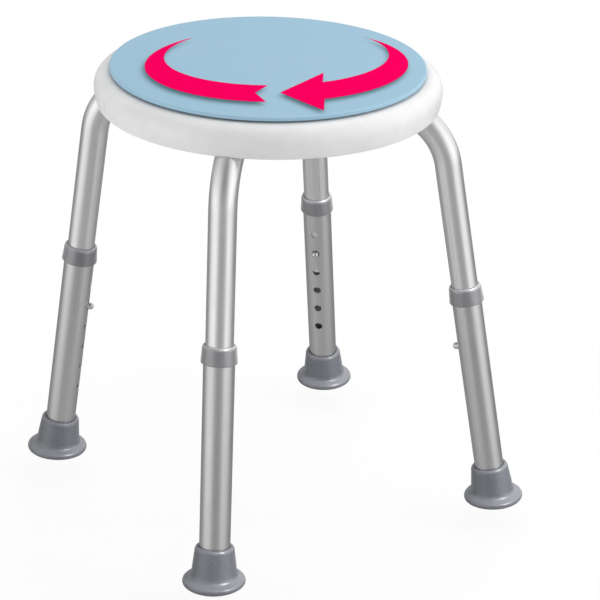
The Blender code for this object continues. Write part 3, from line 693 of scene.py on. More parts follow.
# ======================================================================= seat
def seat_profile():
    bow_a, bow_b = RIM_R - SHOULDER_R, SHOULDER_Z - RIM_Z
    pts = [(6.5, POCKET_TOP), (POCKET_R, POCKET_TOP, 0.5), (POCKET_R + 0.6, PLATE_TOP, 0.8),
           (GLIDE_R[0] - 0.5, PLATE_TOP, 0.2), (GLIDE_R[0] - 0.5, GLIDE_Z[0] - 0.3, 0.15),
           (GLIDE_R[1] + 0.5, GLIDE_Z[0] - 0.3, 0.15), (GLIDE_R[1] + 0.5, PLATE_TOP, 0.2),
           (132.0, PLATE_TOP, 1.5), (134.5, SHOULDER_Z, 0.9)]
    for i in range(25):
        t = math.pi / 2 * i / 24
        pts.append((SHOULDER_R + bow_a * math.sin(t), RIM_Z + bow_b * math.cos(t)))
    pts += [(159.85, 404.0), (159.2, 399.5), (158.5, 396.4), (157.9, 394.4, 1.2), (156.6, SKIRT_BOTTOM, 0.6),
            (155.4, SKIRT_BOTTOM + 0.4, 0.5), (156.8, RIM_Z, 6.0)]
    for i in range(8):
        t = math.pi / 2 * (7 - i) / 8.5
        pts.append((SHOULDER_R - 1.5 + (bow_a - WALL + 1.3) * math.sin(t), RIM_Z + (bow_b - WALL) * math.cos(t)))
    pts += [(138.0, SHOULDER_Z - 3.4, 2.0), (134.0, PLATE_UNDER - 0.6, 1.5),
            (61.6, PLATE_UNDER, 0.8), (61.3, 404.0, 0.5), (59.3, 404.0, 0.5), (59.0, PLATE_UNDER, 0.8),
            (24.5, PLATE_UNDER, 0.8), (23.5, POCKET_UNDER, 0.8), (6.5, POCKET_UNDER, 0.4)]
    return rounded(pts)


def build_seat_base(mat):
    base = mesh_object("stool_seat_base", *lathe(seat_profile(), 224), mat, None)
    add, cut = [], []
    for k in range(4):
        add.append(placed(block(30.0, 150.5, -1.2, 1.2, 402.0, 416.2), turn(90 * k)))
    for angle in LEGS.values():
        m = turn(angle)
        for x in (SADDLE_AT - 7.5, SADDLE_AT + 7.5):
            add.append(placed(block(x - 1.2, x + 1.2, -27.5, 27.5, 400.6, 416.3), m))
        for y in (-SADDLE_SCREW, SADDLE_SCREW):
            at = m @ Matrix.Translation((SADDLE_AT, y, 0))
            add.append(placed(cylinder(5.0, 400.0, 416.4, 40), at))
            cut.append(placed(cylinder(2.15, 399.0, 412.6, 28), at))
    combine(base, mesh_object("adds", *joined(*add), None, None), "UNION")
    for shift, angle in ((PRESS_SHIFT, 45.0), (-PRESS_SHIFT, 135.0)):
        st = tube_stations(shift, 10, 12)
        cut.append(placed(rings_to_tube([tube_ring(s, -0.35, 40) for s in st]), turn(angle)))
    combine(base, mesh_object("cuts", *joined(*cut), None, None))
    return shade(base, 30)


def ellipse_radius(ell, azimuth):
    cx, cy, a, b, rot = ell
    az = math.radians(azimuth)
    d = Vector((math.sin(az), -math.cos(az)))
    c, s = math.cos(math.radians(rot)), math.sin(math.radians(rot))
    dx, dy = (d.x * c + d.y * s) / a, (-d.x * s + d.y * c) / b
    ox, oy = (-cx * c - cy * s) / a, (cx * s - cy * c) / b
    qa, qb, qc = dx * dx + dy * dy, 2 * (dx * ox + dy * oy), ox * ox + oy * oy - 1
    return (-qb + math.sqrt(qb * qb - 4 * qa * qc)) / (2 * qa)


def polar(azimuth, r):
    a = math.radians(azimuth)
    return (r * math.sin(a), -r * math.cos(a))


def crescent(start, stop, steps):
    outer, inner = [], []
    for i in range(steps + 1):
        az = start + (stop - start) * i / steps
        ro, ri = ellipse_radius(ARROW_OUTER, az), ellipse_radius(ARROW_INNER, az)
        ri = min(ri, ro - 0.25 - 0.65 * (1 - i / steps))
        outer.append(polar(az, ro))
        inner.append(polar(az, ri))
    return outer, inner


def tail_outline():
    outer, inner = crescent(TAIL_END, TAIL_TIP, 110)
    return outer + inner[::-1] + [polar(*TAIL_NOTCH)]


def head_outline():
    outer, _ = crescent(HEAD_SHAFT_OUT, HEAD_TIP_END, 90)
    _, inner = crescent(HEAD_SHAFT_IN, HEAD_TIP_END, 76)
    return outer + inner[::-1] + [polar(*HEAD_CORNER_IN), polar(*HEAD_POINT), polar(*HEAD_CORNER_OUT)]


def inside(outline, xs, ys):
    """Even-odd test of grid points against a closed outline."""
    hit = np.zeros(xs.shape, bool)
    n = len(outline)
    for i in range(n):
        x0, y0 = outline[i]
        x1, y1 = outline[(i + 1) % n]
        if y0 == y1:
            continue
        crosses = (y0 > ys) != (y1 > ys)
        at = (x1 - x0) * (ys - y0) / (y1 - y0) + x0
        hit ^= crosses & (xs < at)
    return hit


def arrow_shade(points):
    """Painted soft drop shadow beside the arrow, strongest on the side that faces the viewer.
    Points are (n, 2) in millimetres; the answer is 0 to 1."""
    az = math.radians(VIEW_AZIMUTH)
    right, near = np.array((math.cos(az), math.sin(az))), np.array((math.sin(az), -math.cos(az)))
    step, half = 0.75, 150.0
    axis = np.arange(-half, half + step / 2, step)
    u, v = np.meshgrid(axis, axis)                     # u to the right, v towards the viewer
    x = u * right[0] + v * near[0]
    y = u * right[1] + v * near[1]
    mask = np.zeros(u.shape)
    for outline in (tail_outline(), head_outline()):
        mask = np.maximum(mask, inside(outline, x, y).astype(float))

    def blur(a, sigma, along):
        k = int(math.ceil(3 * sigma / step))
        w = np.exp(-0.5 * (np.arange(-k, k + 1) * step / sigma) ** 2)
        w /= w.sum()
        return np.apply_along_axis(lambda row: np.convolve(row, w, "same"), along, a)

    soft = blur(blur(mask, SHADE_BLUR[0], 1), SHADE_BLUR[1], 0)
    pu = points @ right - SHADE_SHIFT[0]
    pv = points @ near - SHADE_SHIFT[1]
    fu = np.clip((pu + half) / step, 0, len(axis) - 1.001)
    fv = np.clip((pv + half) / step, 0, len(axis) - 1.001)
    i, j = fu.astype(int), fv.astype(int)
    a, b = fu - i, fv - j
    return ((soft[j, i] * (1 - a) + soft[j, i + 1] * a) * (1 - b)
            + (soft[j + 1, i] * (1 - a) + soft[j + 1, i + 1] * a) * b)


SHADE_SHIFT = (-1.50, 9.10)        # right, towards the viewer
SHADE_BLUR = (2.40, 4.32)


def build_disc(mat):
    segs = 288
    edge = rounded([(DISC_R - 3.0, DISC_TOP), (DISC_R, DISC_TOP, 1.1), (DISC_R, DISC_UNDER, 0.6), (HUB_R + 1.5, DISC_UNDER, 0.5),
                    (HUB_R, DISC_UNDER - 1.5, 0.5), (HUB_R, HUB_BOTTOM, 0.6), (0, HUB_BOTTOM)])
    rows = 96
    top = [(0.0, DISC_TOP)] + [((DISC_R - 3.0) * (i / rows), DISC_TOP) for i in range(1, rows)]
    disc = mesh_object("stool_swivel_disc", *lathe(top + edge, segs), mat, None)
    ribs = [placed(block(HUB_R - 1.5, 110.0, -1.0, 1.0, 421.4, DISC_UNDER + 0.8), turn(360 / DISC_RIBS * k))
            for k in range(DISC_RIBS)]
    combine(disc, mesh_object("ribs", *joined(*ribs), None, None), "UNION")
    pocket = placed(cylinder(13.4 / math.sqrt(3), HEAD_POCKET[0], HEAD_POCKET[1], 6), turn(10))
    combine(disc, mesh_object("pocket", *pocket, None, None))
    combine(disc, mesh_object("shank_room", *cylinder(4.35, HUB_BOTTOM - 1, HEAD_POCKET[0] + 1, 40), None, None))
    shade(disc, 30)
    co = coords(disc.data)
    # painted shadow of the arrow, stored per vertex for the disc's shader
    amount = arrow_shade(co[:, :2])
    amount[co[:, 2] < DISC_TOP - 0.6] = 0.0
    store(disc.data, "arrow_shade", amount)
    return disc


def build_arrow(name, outline, mat):
    return mesh_object(name, *prism(outline, *ARROW_Z), mat, 60)


def build_glide(mat):
    g0, g1 = GLIDE_R
    pts = rounded([(g0, GLIDE_Z[0], 0.3), (g0 + 0.4, GLIDE_Z[1], 1.2), (g1 - 0.4, GLIDE_Z[1], 1.2), (g1, GLIDE_Z[0], 0.3)], True)
    return mesh_object("stool_glide_ring", *lathe(pts, 200), mat)


# ====================================================================== pivot
def threaded(r_major, depth, pitch, z0, z1, segs=48, rows_per_pitch=8):
    """Solid rod from z0 up to z1 with a helical thread."""
    dz = pitch / rows_per_pitch
    rows = int(round((z1 - z0) / dz))
    verts, faces = [], []
    for i in range(rows + 1):
        z = z0 + (z1 - z0) * i / rows
        run = min(1.0, (z - z0) / (1.2 * pitch))
        for k in range(segs):
            a = 2 * math.pi * k / segs
            phase = (z / pitch - k / segs) % 1.0
            tooth = abs(2 * phase - 1.0)
            tooth = min(1.0, max(0.0, 1.35 * tooth - 0.12))
            r = r_major - depth * (1.0 - tooth * run) - (1.0 - run) * 0.25
            verts.append((r * math.cos(a), r * math.sin(a), z))
    for i in range(rows):
        for k in range(segs):
            a, b = i * segs + k, i * segs + (k + 1) % segs
            faces.append([a, b, b + segs, a + segs])
    faces.append(list(range(segs)))
    faces.append(list(range(rows * segs, (rows + 1) * segs)))
    return verts, faces


def hexagon(af, z0, z1, chamfer_low, chamfer_high, angle=0.0):
    """Hexagonal prism whose corners are turned off at the chosen ends."""
    r = af / math.sqrt(3)
    body = mesh_object("hex", *placed(cylinder(r, z0, z1, 6), turn(angle)), None, None)
    c = 0.55
    low = (z0, r * 0.93) if chamfer_low else (z0 - 1.0, r + 1.0)
    high = (z1, r * 0.93) if chamfer_high else (z1 + 1.0, r + 1.0)
    pts = [(0, low[0])]
    if chamfer_low:
        pts += [(r * 0.90, low[0]), (r + 0.6, low[0] + (0.1 * r + 0.6) * c)]
    else:
        pts += [(r + 0.6, low[0])]
    if chamfer_high:
        pts += [(r + 0.6, high[0] - (0.1 * r + 0.6) * c), (r * 0.90, high[0])]
    else:
        pts += [(r + 0.6, high[0])]
    pts.append((0, high[0]))
    env = mesh_object("envelope", *lathe(pts, 72), None, None)
    combine(body, env, "INTERSECT")
    return body


def build_pivot(mats):
    bolt = hexagon(13.0, 420.1, 425.1, False, True, 10)
    bolt.name = "stool_pivot_bolt"
    bolt.data.materials.append(mats["zinc"])
    rod = joined(lathe(rounded([(0, 420.6), (3.95, 420.6), (3.95, 387.0), (0, 387.0)]), 48),)
    combine(bolt, mesh_object("shank", *rod, None, None), "UNION")
    combine(bolt, mesh_object("thread", *threaded(4.0, 0.62, 1.25, 375.0, 387.6), None, None), "UNION")
    shade(bolt, 50)
    bush = mesh_object("stool_pivot_bush", *lathe(rounded([
        (4.3, 417.7, 0.3), (13.0, 417.7, 0.5), (13.0, 416.1, 0.3), (6.1, 416.1, 0.3), (6.1, 387.2, 0.5), (4.3, 387.2, 0.2)], True), 80),
        mats["acetal"])
    washer = mesh_object("stool_pivot_washer", *lathe(rounded([
        (4.3, 386.8, 0.15), (11.0, 386.8, 0.35), (11.0, 385.3, 0.15), (4.3, 385.3, 0.35)], True), 80), mats["zinc"])
    nut = hexagon(13.0, 378.8, 385.0, True, True, 0)
    nut.name = "stool_pivot_nut"
    nut.data.materials.append(mats["zinc"])
    cap = lathe(rounded([(0, 380.0), (5.9, 380.0), (5.9, 377.6, 0.8), (5.1, 376.8, 0.3), (0, 376.8)]), 64)
    combine(nut, mesh_object("cap", *cap, None, None), "UNION")
    combine(nut, mesh_object("bore", *cylinder(4.3, 370.0, 390.0, 48), None, None))
    shade(nut, 32)
    return bolt, bush, washer, nut


# ====================================================================== frame
def ease(t):
    t = min(1.0, max(0.0, t))
    return t * t * (3 - 2 * t)


def tube_stations(shift, press_steps=18, bend_steps=30):
    """(x, z, direction angle, pressed share) from one foot end to the other."""
    xc = LEG_R_AT_RUN - BEND_R * (1 - math.sin(SPLAY)) / math.cos(SPLAY)
    zc = RUN_Z - BEND_R
    half = []
    for i in range(press_steps + 1):
        f = 1 - i / press_steps
        x = PRESS_TO + (PRESS_FROM - PRESS_TO) * f
        p = ease(1 - f)
        slope = 6 * f * (1 - f) * shift / (PRESS_FROM - PRESS_TO)
        half.append((x, RUN_Z + p * shift, -math.atan(slope), p))
    half.reverse()
    for i in range(bend_steps + 1):
        a = math.pi / 2 - (math.pi / 2 - SPLAY) * i / bend_steps
        half.append((xc + BEND_R * math.cos(a), zc + BEND_R * math.sin(a), a - math.pi / 2, 0.0))
    x0, z0 = half[-1][:2]
    x1, z1 = LEG_R_AT_RUN + (RUN_Z - UPPER_END_Z) * math.tan(SPLAY), UPPER_END_Z
    for i in range(1, 9):
        half.append((x0 + (x1 - x0) * i / 8, z0 + (z1 - z0) * i / 8, SPLAY - math.pi / 2, 0.0))
    return [(-x, z, -a, p) for x, z, a, p in reversed(half)] + half


def tube_ring(station, inset, segs=TUBE_SEGS):
    x, z, a, p = station
    hw = UPPER_R + (PRESS_A - UPPER_R) * p - inset
    hh = UPPER_R + (PRESS_B - UPPER_R) * p - inset
    e = 1.0 - 0.18 * p
    ring = []
    for k in range(segs):
        t = 2 * math.pi * (k + 0.5) / segs
        c, s = math.cos(t), math.sin(t)
        w = hw * math.copysign(abs(c) ** e, c)
        h = hh * math.copysign(abs(s) ** e, s)
        ring.append((x - h * math.sin(a), w, z + h * math.cos(a)))
    return ring


def leg_matrix(angle):
    """Leg frame: origin on the floor, Z up the leg, X towards the stool's axis."""
    u = Vector((math.cos(math.radians(angle)), math.sin(math.radians(angle)), 0))
    up = Vector((0, 0, 1))
    z = -math.sin(SPLAY) * u + math.cos(SPLAY) * up
    x = -math.cos(SPLAY) * u - math.sin(SPLAY) * up
    m = Matrix((x, z.cross(x), z)).transposed().to_4x4()
    m.translation = u * FOOT_CENTRE
    return m


def rod_coordinates(me, stations):
    """Across, across, along for every vertex of a bent tube, in metres."""
    co = coords(me)
    path = np.array([(s[0], s[1]) for s in stations])
    seg = path[1:] - path[:-1]
    length = np.linalg.norm(seg, axis=1)
    start = np.concatenate([[0], np.cumsum(length)[:-1]])
    best = np.full(len(co), 1e9)
    out = np.zeros((len(co), 3))
    for i in range(len(seg)):
        d = seg[i] / length[i]
        rel = co[:, (0, 2)] - path[i]
        t = rel @ d
        tc = np.clip(t, -0.6, length[i] + 0.6)
        off = rel - tc[:, None] * d
        dist = np.linalg.norm(off, axis=1) + np.abs(t - tc)
        better = dist < best
        best = np.where(better, dist, best)
        h = rel @ np.array((-d[1], d[0]))
        cand = np.stack([co[:, 1], h, start[i] + np.clip(t, 0, length[i])], 1)
        out[better] = cand[better]
    return out * MM


def build_tube(name, shift, angle, mat):
    st = tube_stations(shift)
    lip = []
    for i, s in enumerate(st):
        lip.append(tube_ring(s, 0.0))
    inner = [tube_ring(s, UPPER_WALL) for s in st]
    # the first ring of each wall is copied as it is; the tube ends stay plain
    for rings, d in ((lip, 0.35), (inner, -0.35)):
        rings[0] = [tuple(Vector(p)) for p in rings[0]]
    tube = mesh_object(name, *rings_to_tube(lip, inner), mat, None)
    combine(tube, mesh_object("pivot_room", *cylinder(PIVOT_HOLE_R, 380.0, 420.0, 48), None, None))
    for side in (0.0, 180.0):
        m = leg_matrix(side) @ Matrix.Translation((0, 0, BUTTON_T)) @ Matrix.Rotation(math.pi / 2, 4, "Y")
        combine(tube, mesh_object("button_room", *placed(cylinder(BUTTON_BORE_R, 4.0, 20.0, 40), m), None, None))
    shade(tube, 30)
    rod = rod_coordinates(tube.data, st)
    rod[:, 2] -= rod[:, 2].max() / 2
    store(tube.data, "rod", rod)
    tube.rotation_euler = (0, 0, math.radians(angle))
    return tube


def saddle_outline():
    ear, inner, outer, top = 29.0, 13.1, 16.0, RUN_Z - 0.3
    low = top - 3.0
    steps = 36

    def arc(r, y):
        a0 = math.asin((RUN_Z - y) / r)
        return [(r * math.cos(a0 + (math.pi - 2 * a0) * i / steps),
                 RUN_Z - r * math.sin(a0 + (math.pi - 2 * a0) * i / steps)) for i in range(steps + 1)]

    return [(ear, low), (ear, top)] + arc(inner, top) + [(-ear, top), (-ear, low)] + arc(outer, low)[::-1]


def build_saddle(mat):
    strap = mesh_object("strap", *prism(saddle_outline(), -SADDLE_LEN / 2, SADDLE_LEN / 2), mat, None)
    strap.data.transform(Matrix(((0, 0, 1, SADDLE_AT * MM), (1, 0, 0, 0), (0, 1, 0, 0), (0, 0, 0, 1))))
    # rounded ears, seen from below
    ear = rounded([(SADDLE_AT - SADDLE_LEN / 2, -29.0, 6.0), (SADDLE_AT + SADDLE_LEN / 2, -29.0, 6.0),
                   (SADDLE_AT + SADDLE_LEN / 2, 29.0, 6.0), (SADDLE_AT - SADDLE_LEN / 2, 29.0, 6.0)], True, 7.5)
    combine(strap, mesh_object("ears", *prism(ear, 380.0, 402.0), None, None), "INTERSECT")
    bevelled(strap, 0.6, 50, 3)
    for y in (-SADDLE_SCREW, SADDLE_SCREW):
        hole = placed(cylinder(2.3, 390.0, 405.0, 32), Matrix.Translation((SADDLE_AT, y, 0)))
        combine(strap, mesh_object("screw_room", *hole, None, None))
    return shade(strap, 32)


def build_screw(mat):
    """Pan-head screw with a cross recess, its axis on Z."""
    head = rounded([(0, 393.75), (1.9, 393.8, 0.8), (3.9, 394.6, 1.0), (3.9, 396.4, 0.15), (1.9, 396.4, 0.1),
                    (1.9, 409.5, 0.2), (0, 411.5)], step=9)
    screw = mesh_object("screw", *lathe(head, 56), mat, None)
    for k in range(2):
        wedge = [(-2.1, -0.42, 393.0), (2.1, -0.42, 393.0), (2.1, 0.42, 393.0), (-2.1, 0.42, 393.0),
                 (-0.75, -0.36, 395.5), (0.75, -0.36, 395.5), (0.75, 0.36, 395.5), (-0.75, 0.36, 395.5)]
        quads = [[0, 1, 2, 3], [4, 5, 6, 7], [0, 1, 5, 4], [1, 2, 6, 5], [2, 3, 7, 6], [3, 0, 4, 7]]
        combine(screw, mesh_object("slot", *placed((wedge, quads), turn(30 + 90 * k)), None, None))
    return shade(screw, 32)


# ======================================================================= legs
def build_extension(mat):
    z0, z1 = LOWER_FROM, LOWER_TO
    profile = rounded([(LOWER_R, z0, 0.3), (LOWER_R, z1, 0.3), (LOWER_BORE, z1, 0.3), (LOWER_BORE, z0, 0.3)], True)
    # the outer and inner wall points are picked out here, but nothing uses them
    outer, inner = [p for p in profile if p[0] > 13.7], [p for p in profile if p[0] <= 13.7]
    lower = mesh_object("lower", *lathe(profile, 72), mat, None)
    for k in range(HOLE_COUNT):
        m = Matrix.Translation((0, 0, HOLE_FIRST - k * HOLE_PITCH)) @ Matrix.Rotation(math.pi / 2, 4, "Y")
        combine(lower, mesh_object("hole", *placed(cylinder(HOLE_R, 5.0, 20.0, 44), m), None, None))
    shade(lower, 30)
    store(lower.data, "rod", coords(lower.data) * MM)
    return lower


def build_collar(mat):
    pts = rounded([
        (14.65, COLLAR_FROM, 0.2), (COLLAR_R - 0.6, COLLAR_FROM, 0.4), (COLLAR_R, COLLAR_FROM + 0.8, 0.5),
        (COLLAR_R - 0.5, COLLAR_FROM + 6.0, 6.0), (COLLAR_TOP_R, COLLAR_TO - 2.6, 1.6),
        (COLLAR_TOP_R - 0.7, COLLAR_TO - 0.8, 1.2), (COLLAR_TOP_R - 1.5, COLLAR_TO, 0.6), (12.88, COLLAR_TO, 0.3),
        (12.88, LOWER_TO + 0.4, 0.1), (14.65, LOWER_TO + 0.4)], True, 9)
    return mesh_object("collar", *lathe(pts, 88), mat, 32)


def build_foot(mat):
    """Level rings at the flange that turn square to the leg higher up."""
    segs = 96
    cos = math.cos(SPLAY)

    def ring(z, r, share):
        d = SPLAY * share
        cx = -z * math.tan(SPLAY)
        return [(cx + r * math.cos(t) * math.cos(d), r * math.sin(t), z + r * math.cos(t) * math.sin(d))
                for t in (2 * math.pi * k / segs for k in range(segs))]

    flange = spline([(0.0, 20.2, 0), (0.0, 21.0, 0), (1.2, 24.5, 0.2), (2.2, 27.3, 0.35), (3.3, 28.7, 0.45),
                     (4.9, 29.15, 0.45), (6.7, 28.7, 0.45), (7.9, 27.5, 0.4), (9.0, 25.4, 0.35), (10.4, 22.9, 0.35),
                     (12.9, 21.4, 0.4), (16.5, 20.7, 0.5), (21.5, 20.1, 0.75), (28.0, 19.3, 1),
                     ((FOOT_TOP - 3.9) * cos, 18.45, 1)], 5)
    top = rounded([((FOOT_TOP - 3.9) * cos, 18.45), ((FOOT_TOP - 2.4) * cos, 18.3, 2.2),
                   (FOOT_TOP * cos, 16.9, 1.8), (FOOT_TOP * cos, FOOT_BORE - 0.2, 0.3),
                   ((FOOT_TOP - 2.5) * cos, FOOT_BORE - 0.2)], step=10)
    top = [(z, r, 1) for z, r in top[1:]]
    rows = flange + top + [(10.3 * cos, FOOT_BORE, 1)]
    # floor side: ring grooves in the sole
    sole = rounded([(0.0, 20.2), (0.0, 16.4, 0.3), (1.0, 15.6, 0.3), (1.0, 13.4, 0.3), (0.0, 12.6, 0.3),
                    (0.0, 9.9, 0.3), (1.0, 9.2, 0.3), (1.0, 7.1, 0.3), (0.0, 6.4, 0.3),
                    (0.0, 4.2, 0.3), (1.0, 3.5, 0.3), (1.0, 1.8)], step=30)
    sole = [(z, r, 0) for z, r in sole[1:]]
    rows = sole[::-1] + rows
    rings = [ring(*s) for s in rows]
    verts = [v for row in rings for v in row]
    faces = []
    for i in range(len(rings) - 1):
        for k in range(segs):
            a, b = i * segs + k, i * segs + (k + 1) % segs
            faces.append([a, b, b + segs, a + segs])
    faces.append(list(range(segs)))
    faces.append(list(range((len(rings) - 1) * segs, len(rings) * segs)))
    return mesh_object("foot", verts, faces, mat, 34)


def build_button(mat):
    tip = BUTTON_TIP
    pts = rounded([(0, 8.3), (4.2, 8.3, 0.3), (4.2, 9.6, 0.3), (BUTTON_R, 9.7, 0.2), (BUTTON_R, tip - 2.2)])
    dome = []
    for i in range(1, 9):
        t = math.pi / 2 * i / 8
        dome.append((BUTTON_R * math.cos(t), tip - 2.2 + 2.2 * math.sin(t)))
    dome[-1] = (0.0, tip)
    o = mesh_object("button", *lathe(pts + dome, 48), mat, None)
    o.data.transform(Matrix.Rotation(math.pi / 2, 4, "Y"))
    return shade(o, 40)


def build_spring(mat):
    line = [(7.5, BUTTON_T - 7.0), (7.5, BUTTON_T + 6.0), (4.6, BUTTON_T + 24.0), (2.0, BUTTON_T + 33.0),
            (0.6, BUTTON_T + 36.2), (-1.2, BUTTON_T + 37.2), (-3.0, BUTTON_T + 36.2), (-4.2, BUTTON_T + 33.0),
            (-6.6, BUTTON_T + 20.0), (-9.6, BUTTON_T - 2.0), (-9.2, BUTTON_T - 9.0)]
    line = spline(line, 5)
    half = 0.38
    left, right = [], []
    for i, p in enumerate(line):
        a = Vector(line[max(0, i - 1)])
        b = Vector(line[min(len(line) - 1, i + 1)])
        d = (b - a).normalized()
        n = Vector((d.y, -d.x))
        left.append(tuple(Vector(p) + n * half))
        right.append(tuple(Vector(p) - n * half))
    o = mesh_object("spring", *prism(left + right[::-1], -3.2, 3.2), mat, None)
    o.data.transform(Matrix(((1, 0, 0, 0), (0, 0, -1, 0), (0, 1, 0, 0), (0, 0, 0, 1))))
    return shade(o, 35)


def build_foot_washer(mat):
    return mesh_object("washer", *lathe(rounded([
        (4.0, 10.65, 0.2), (13.6, 10.65, 0.3), (13.6, 12.15, 0.3), (4.0, 12.15, 0.2)], True), 64), mat)


# ================================================================== placement
def copy_of(source, name, matrix):
    o = bpy.data.objects.new(name, source.data)
    bpy.context.scene.collection.objects.link(o)
    m = matrix.copy()
    m.translation = m.translation * MM
    o.matrix_world = m
    return o


def stand_for(obj, node, body):
    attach(obj, body)
    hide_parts(node)
    return obj


def leg_frames(frame):
    """Leg and floor matrices (mm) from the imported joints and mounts."""
    joints = {j["name"]: j for j in frame["joints"]}
    out = {}
    for leg in LEGS:
        slide, press = joints["leg_slide_" + leg], joints["button_press_" + leg]
        z = -Vector(slide["axis"]).normalized()
        x = -Vector(press["axis"]).normalized()
        y = z.cross(x).normalized()
        x = y.cross(z)
        u = Vector((-x.x, -x.y, 0)).normalized()
        m = Matrix((x, y, z)).transposed().to_4x4()
        m.translation = u * FOOT_CENTRE
        level = Matrix((u, Vector((0, 0, 1)).cross(u), Vector((0, 0, 1)))).transposed().to_4x4()
        level.translation = u * FOOT_CENTRE
        out[leg] = (m, level)
    return out


# ===================================================================== studio
def build_world():
    """Soft studio: what the metal reflects depends on the direction round the
    viewer, and everything else gets an even white surround."""
    w = bpy.data.worlds.new("studio")
    bpy.context.scene.world = w
    w.use_nodes = True
    s = Shader.__new__(Shader)
    s.tree = w.node_tree
    s.tree.nodes.clear()
    d = s.add("ShaderNodeTexCoord").outputs["Generated"]
    a = math.radians(VIEW_AZIMUTH)
    near = s.vmath("DOT_PRODUCT", d, (math.sin(a), -math.cos(a), 0))
    right = s.vmath("DOT_PRODUCT", d, (math.cos(a), math.sin(a), 0))
    xyz = s.add("ShaderNodeSeparateXYZ")
    s.put(xyz.inputs[0], d)
    az = s.math("DEGREES", s.math("ARCTAN2", right, near))
    el = s.math("DEGREES", s.math("ARCSINE", xyz.outputs[2]))

    def curve(value, stops):
        """Piecewise linear value through (degrees, level) stops."""
        lo, hi = stops[0][0], stops[-1][0]
        ramp = s.add("ShaderNodeValToRGB")
        r = ramp.color_ramp
        r.interpolation = "EASE"
        r.elements[0].position, r.elements[0].color = 0.0, (*(stops[0][1],) * 3, 1)
        r.elements[1].position, r.elements[1].color = 1.0, (*(stops[-1][1],) * 3, 1)
        for deg, level in stops[1:-1]:
            e = r.elements.new((deg - lo) / (hi - lo))
            e.color = (*(level,) * 3, 1)
        s.put(ramp.inputs[0], s.span(value, float(lo), float(hi)))
        grey = s.add("ShaderNodeRGBToBW")
        s.put(grey.inputs[0], ramp.outputs[0])
        return grey.outputs[0]

    base = curve(az, GLOSS_BASE)
    side = curve(az, GLOSS_SIDE)
    rise = curve(el, GLOSS_RISE)
    top = s.math("MULTIPLY", curve(el, GLOSS_TOP), curve(az, GLOSS_FRONT))
    base = s.math("MULTIPLY", base, curve(el, GLOSS_BACK))
    gloss = s.math("ADD", s.math("ADD", base, s.math("MULTIPLY", side, rise)), top)
    diffuse = curve(el, DIFFUSE_RISE)
    path = s.add("ShaderNodeLightPath")
    level = s.add("ShaderNodeMix", data_type="FLOAT")
    s.put(level.inputs[0], path.outputs["Is Glossy Ray"])
    s.put(level.inputs[2], diffuse)
    s.put(level.inputs[3], gloss)
    seen = s.add("ShaderNodeMix", data_type="FLOAT")
    s.put(seen.inputs[0], path.outputs["Is Camera Ray"])
    s.put(seen.inputs[2], level.outputs[0])
    s.put(seen.inputs[3], 1.0)
    bg = s.add("ShaderNodeBackground")
    s.put(bg.inputs["Strength"], seen.outputs[0])
    bg.inputs["Color"].default_value = (1, 1, 1, 1)
    out = s.add("ShaderNodeOutputWorld")
    s.tree.links.new(bg.outputs[0], out.inputs["Surface"])


GLOSS_BASE = [(-180, 0.26), (-120, 0.28), (-70, 0.36), (-30, 0.37), (0, 0.36), (30, 0.37), (70, 0.36), (120, 0.28), (180, 0.26)]
GLOSS_SIDE = [(-180, 0.0), (-115, 0.0), (-92, 0.45), (-76, 0.80), (-46, 0.84), (-28, 0.25), (-15, 0.0), (0, 0.0), (18, 0.0),
              (30, 0.22), (46, 0.80), (70, 0.78), (86, 0.45), (110, 0.0), (180, 0.0)]
GLOSS_RISE = [(-90, 0.0), (-50, 0.0), (-38, 0.06), (-28, 0.19), (-20, 0.60), (-12, 1.0), (10, 1.0), (30, 0.8), (60, 0.3), (90, 0.2)]
GLOSS_FRONT = [(-180, 0.1), (-150, 0.45), (-100, 0.45), (-60, 0.22), (-30, 0.24), (20, 0.24), (45, 0.38), (80, 0.7), (110, 1.0), (152, 1.0), (168, 0.5), (180, 0.1)]
GLOSS_TOP = [(-90, 0.0), (-10, 0.0), (5, 0.85), (40, 1.15), (65, 1.1), (90, 0.8)]
GLOSS_BACK = [(-90, 1.38), (-42, 1.36), (-28, 1.33), (-14, 1.0), (0, 1.0), (14, 0.5), (28, 0.12), (50, 0.12), (90, 0.3)]
DIFFUSE_RISE = [(-90, 0.52), (-10, 0.55), (20, 0.55), (90, 0.56)]


def area_light(name, azimuth, elevation, distance, size, power, target=(0, 0, 0.3), glossy=False):
    """Soft light placed by its direction from the stool; azimuth 0 is the
    viewer's side and positive is to the viewer's right."""
    a, e = math.radians(azimuth + VIEW_AZIMUTH), math.radians(elevation)
    d = Vector((math.sin(a) * math.cos(e), -math.cos(a) * math.cos(e), math.sin(e)))
    data = bpy.data.lights.new(name, "AREA")
    data.shape = "SQUARE"
    data.size = size
    data.energy = power
    o = bpy.data.objects.new(name, data)
    bpy.context.scene.collection.objects.link(o)
    o.location = Vector(target) + d * distance
    o.rotation_euler = (-d).to_track_quat("-Z", "Y").to_euler()
    o.visible_glossy = glossy
    o.visible_camera = False
    return o


def floor_piece(name, radii, middle):
    segs = 96
    verts, faces = [], []
    for r in radii:
        verts += [(r * math.cos(2 * math.pi * k / segs), r * math.sin(2 * math.pi * k / segs), FLOOR_Z) for k in range(segs)]
    if middle:
        faces.append(list(range(segs)))
    for i in range(len(radii) - 1):
        for k in range(segs):
            a, b = i * segs + k, i * segs + (k + 1) % segs
            faces.append([a, a + segs, b + segs, b])
    me = bpy.data.meshes.new(name)
    me.from_pydata(verts, [], faces)
    me.update()
    o = bpy.data.objects.new(name, me)
    bpy.context.scene.collection.objects.link(o)
    o.visible_glossy = False
    return o


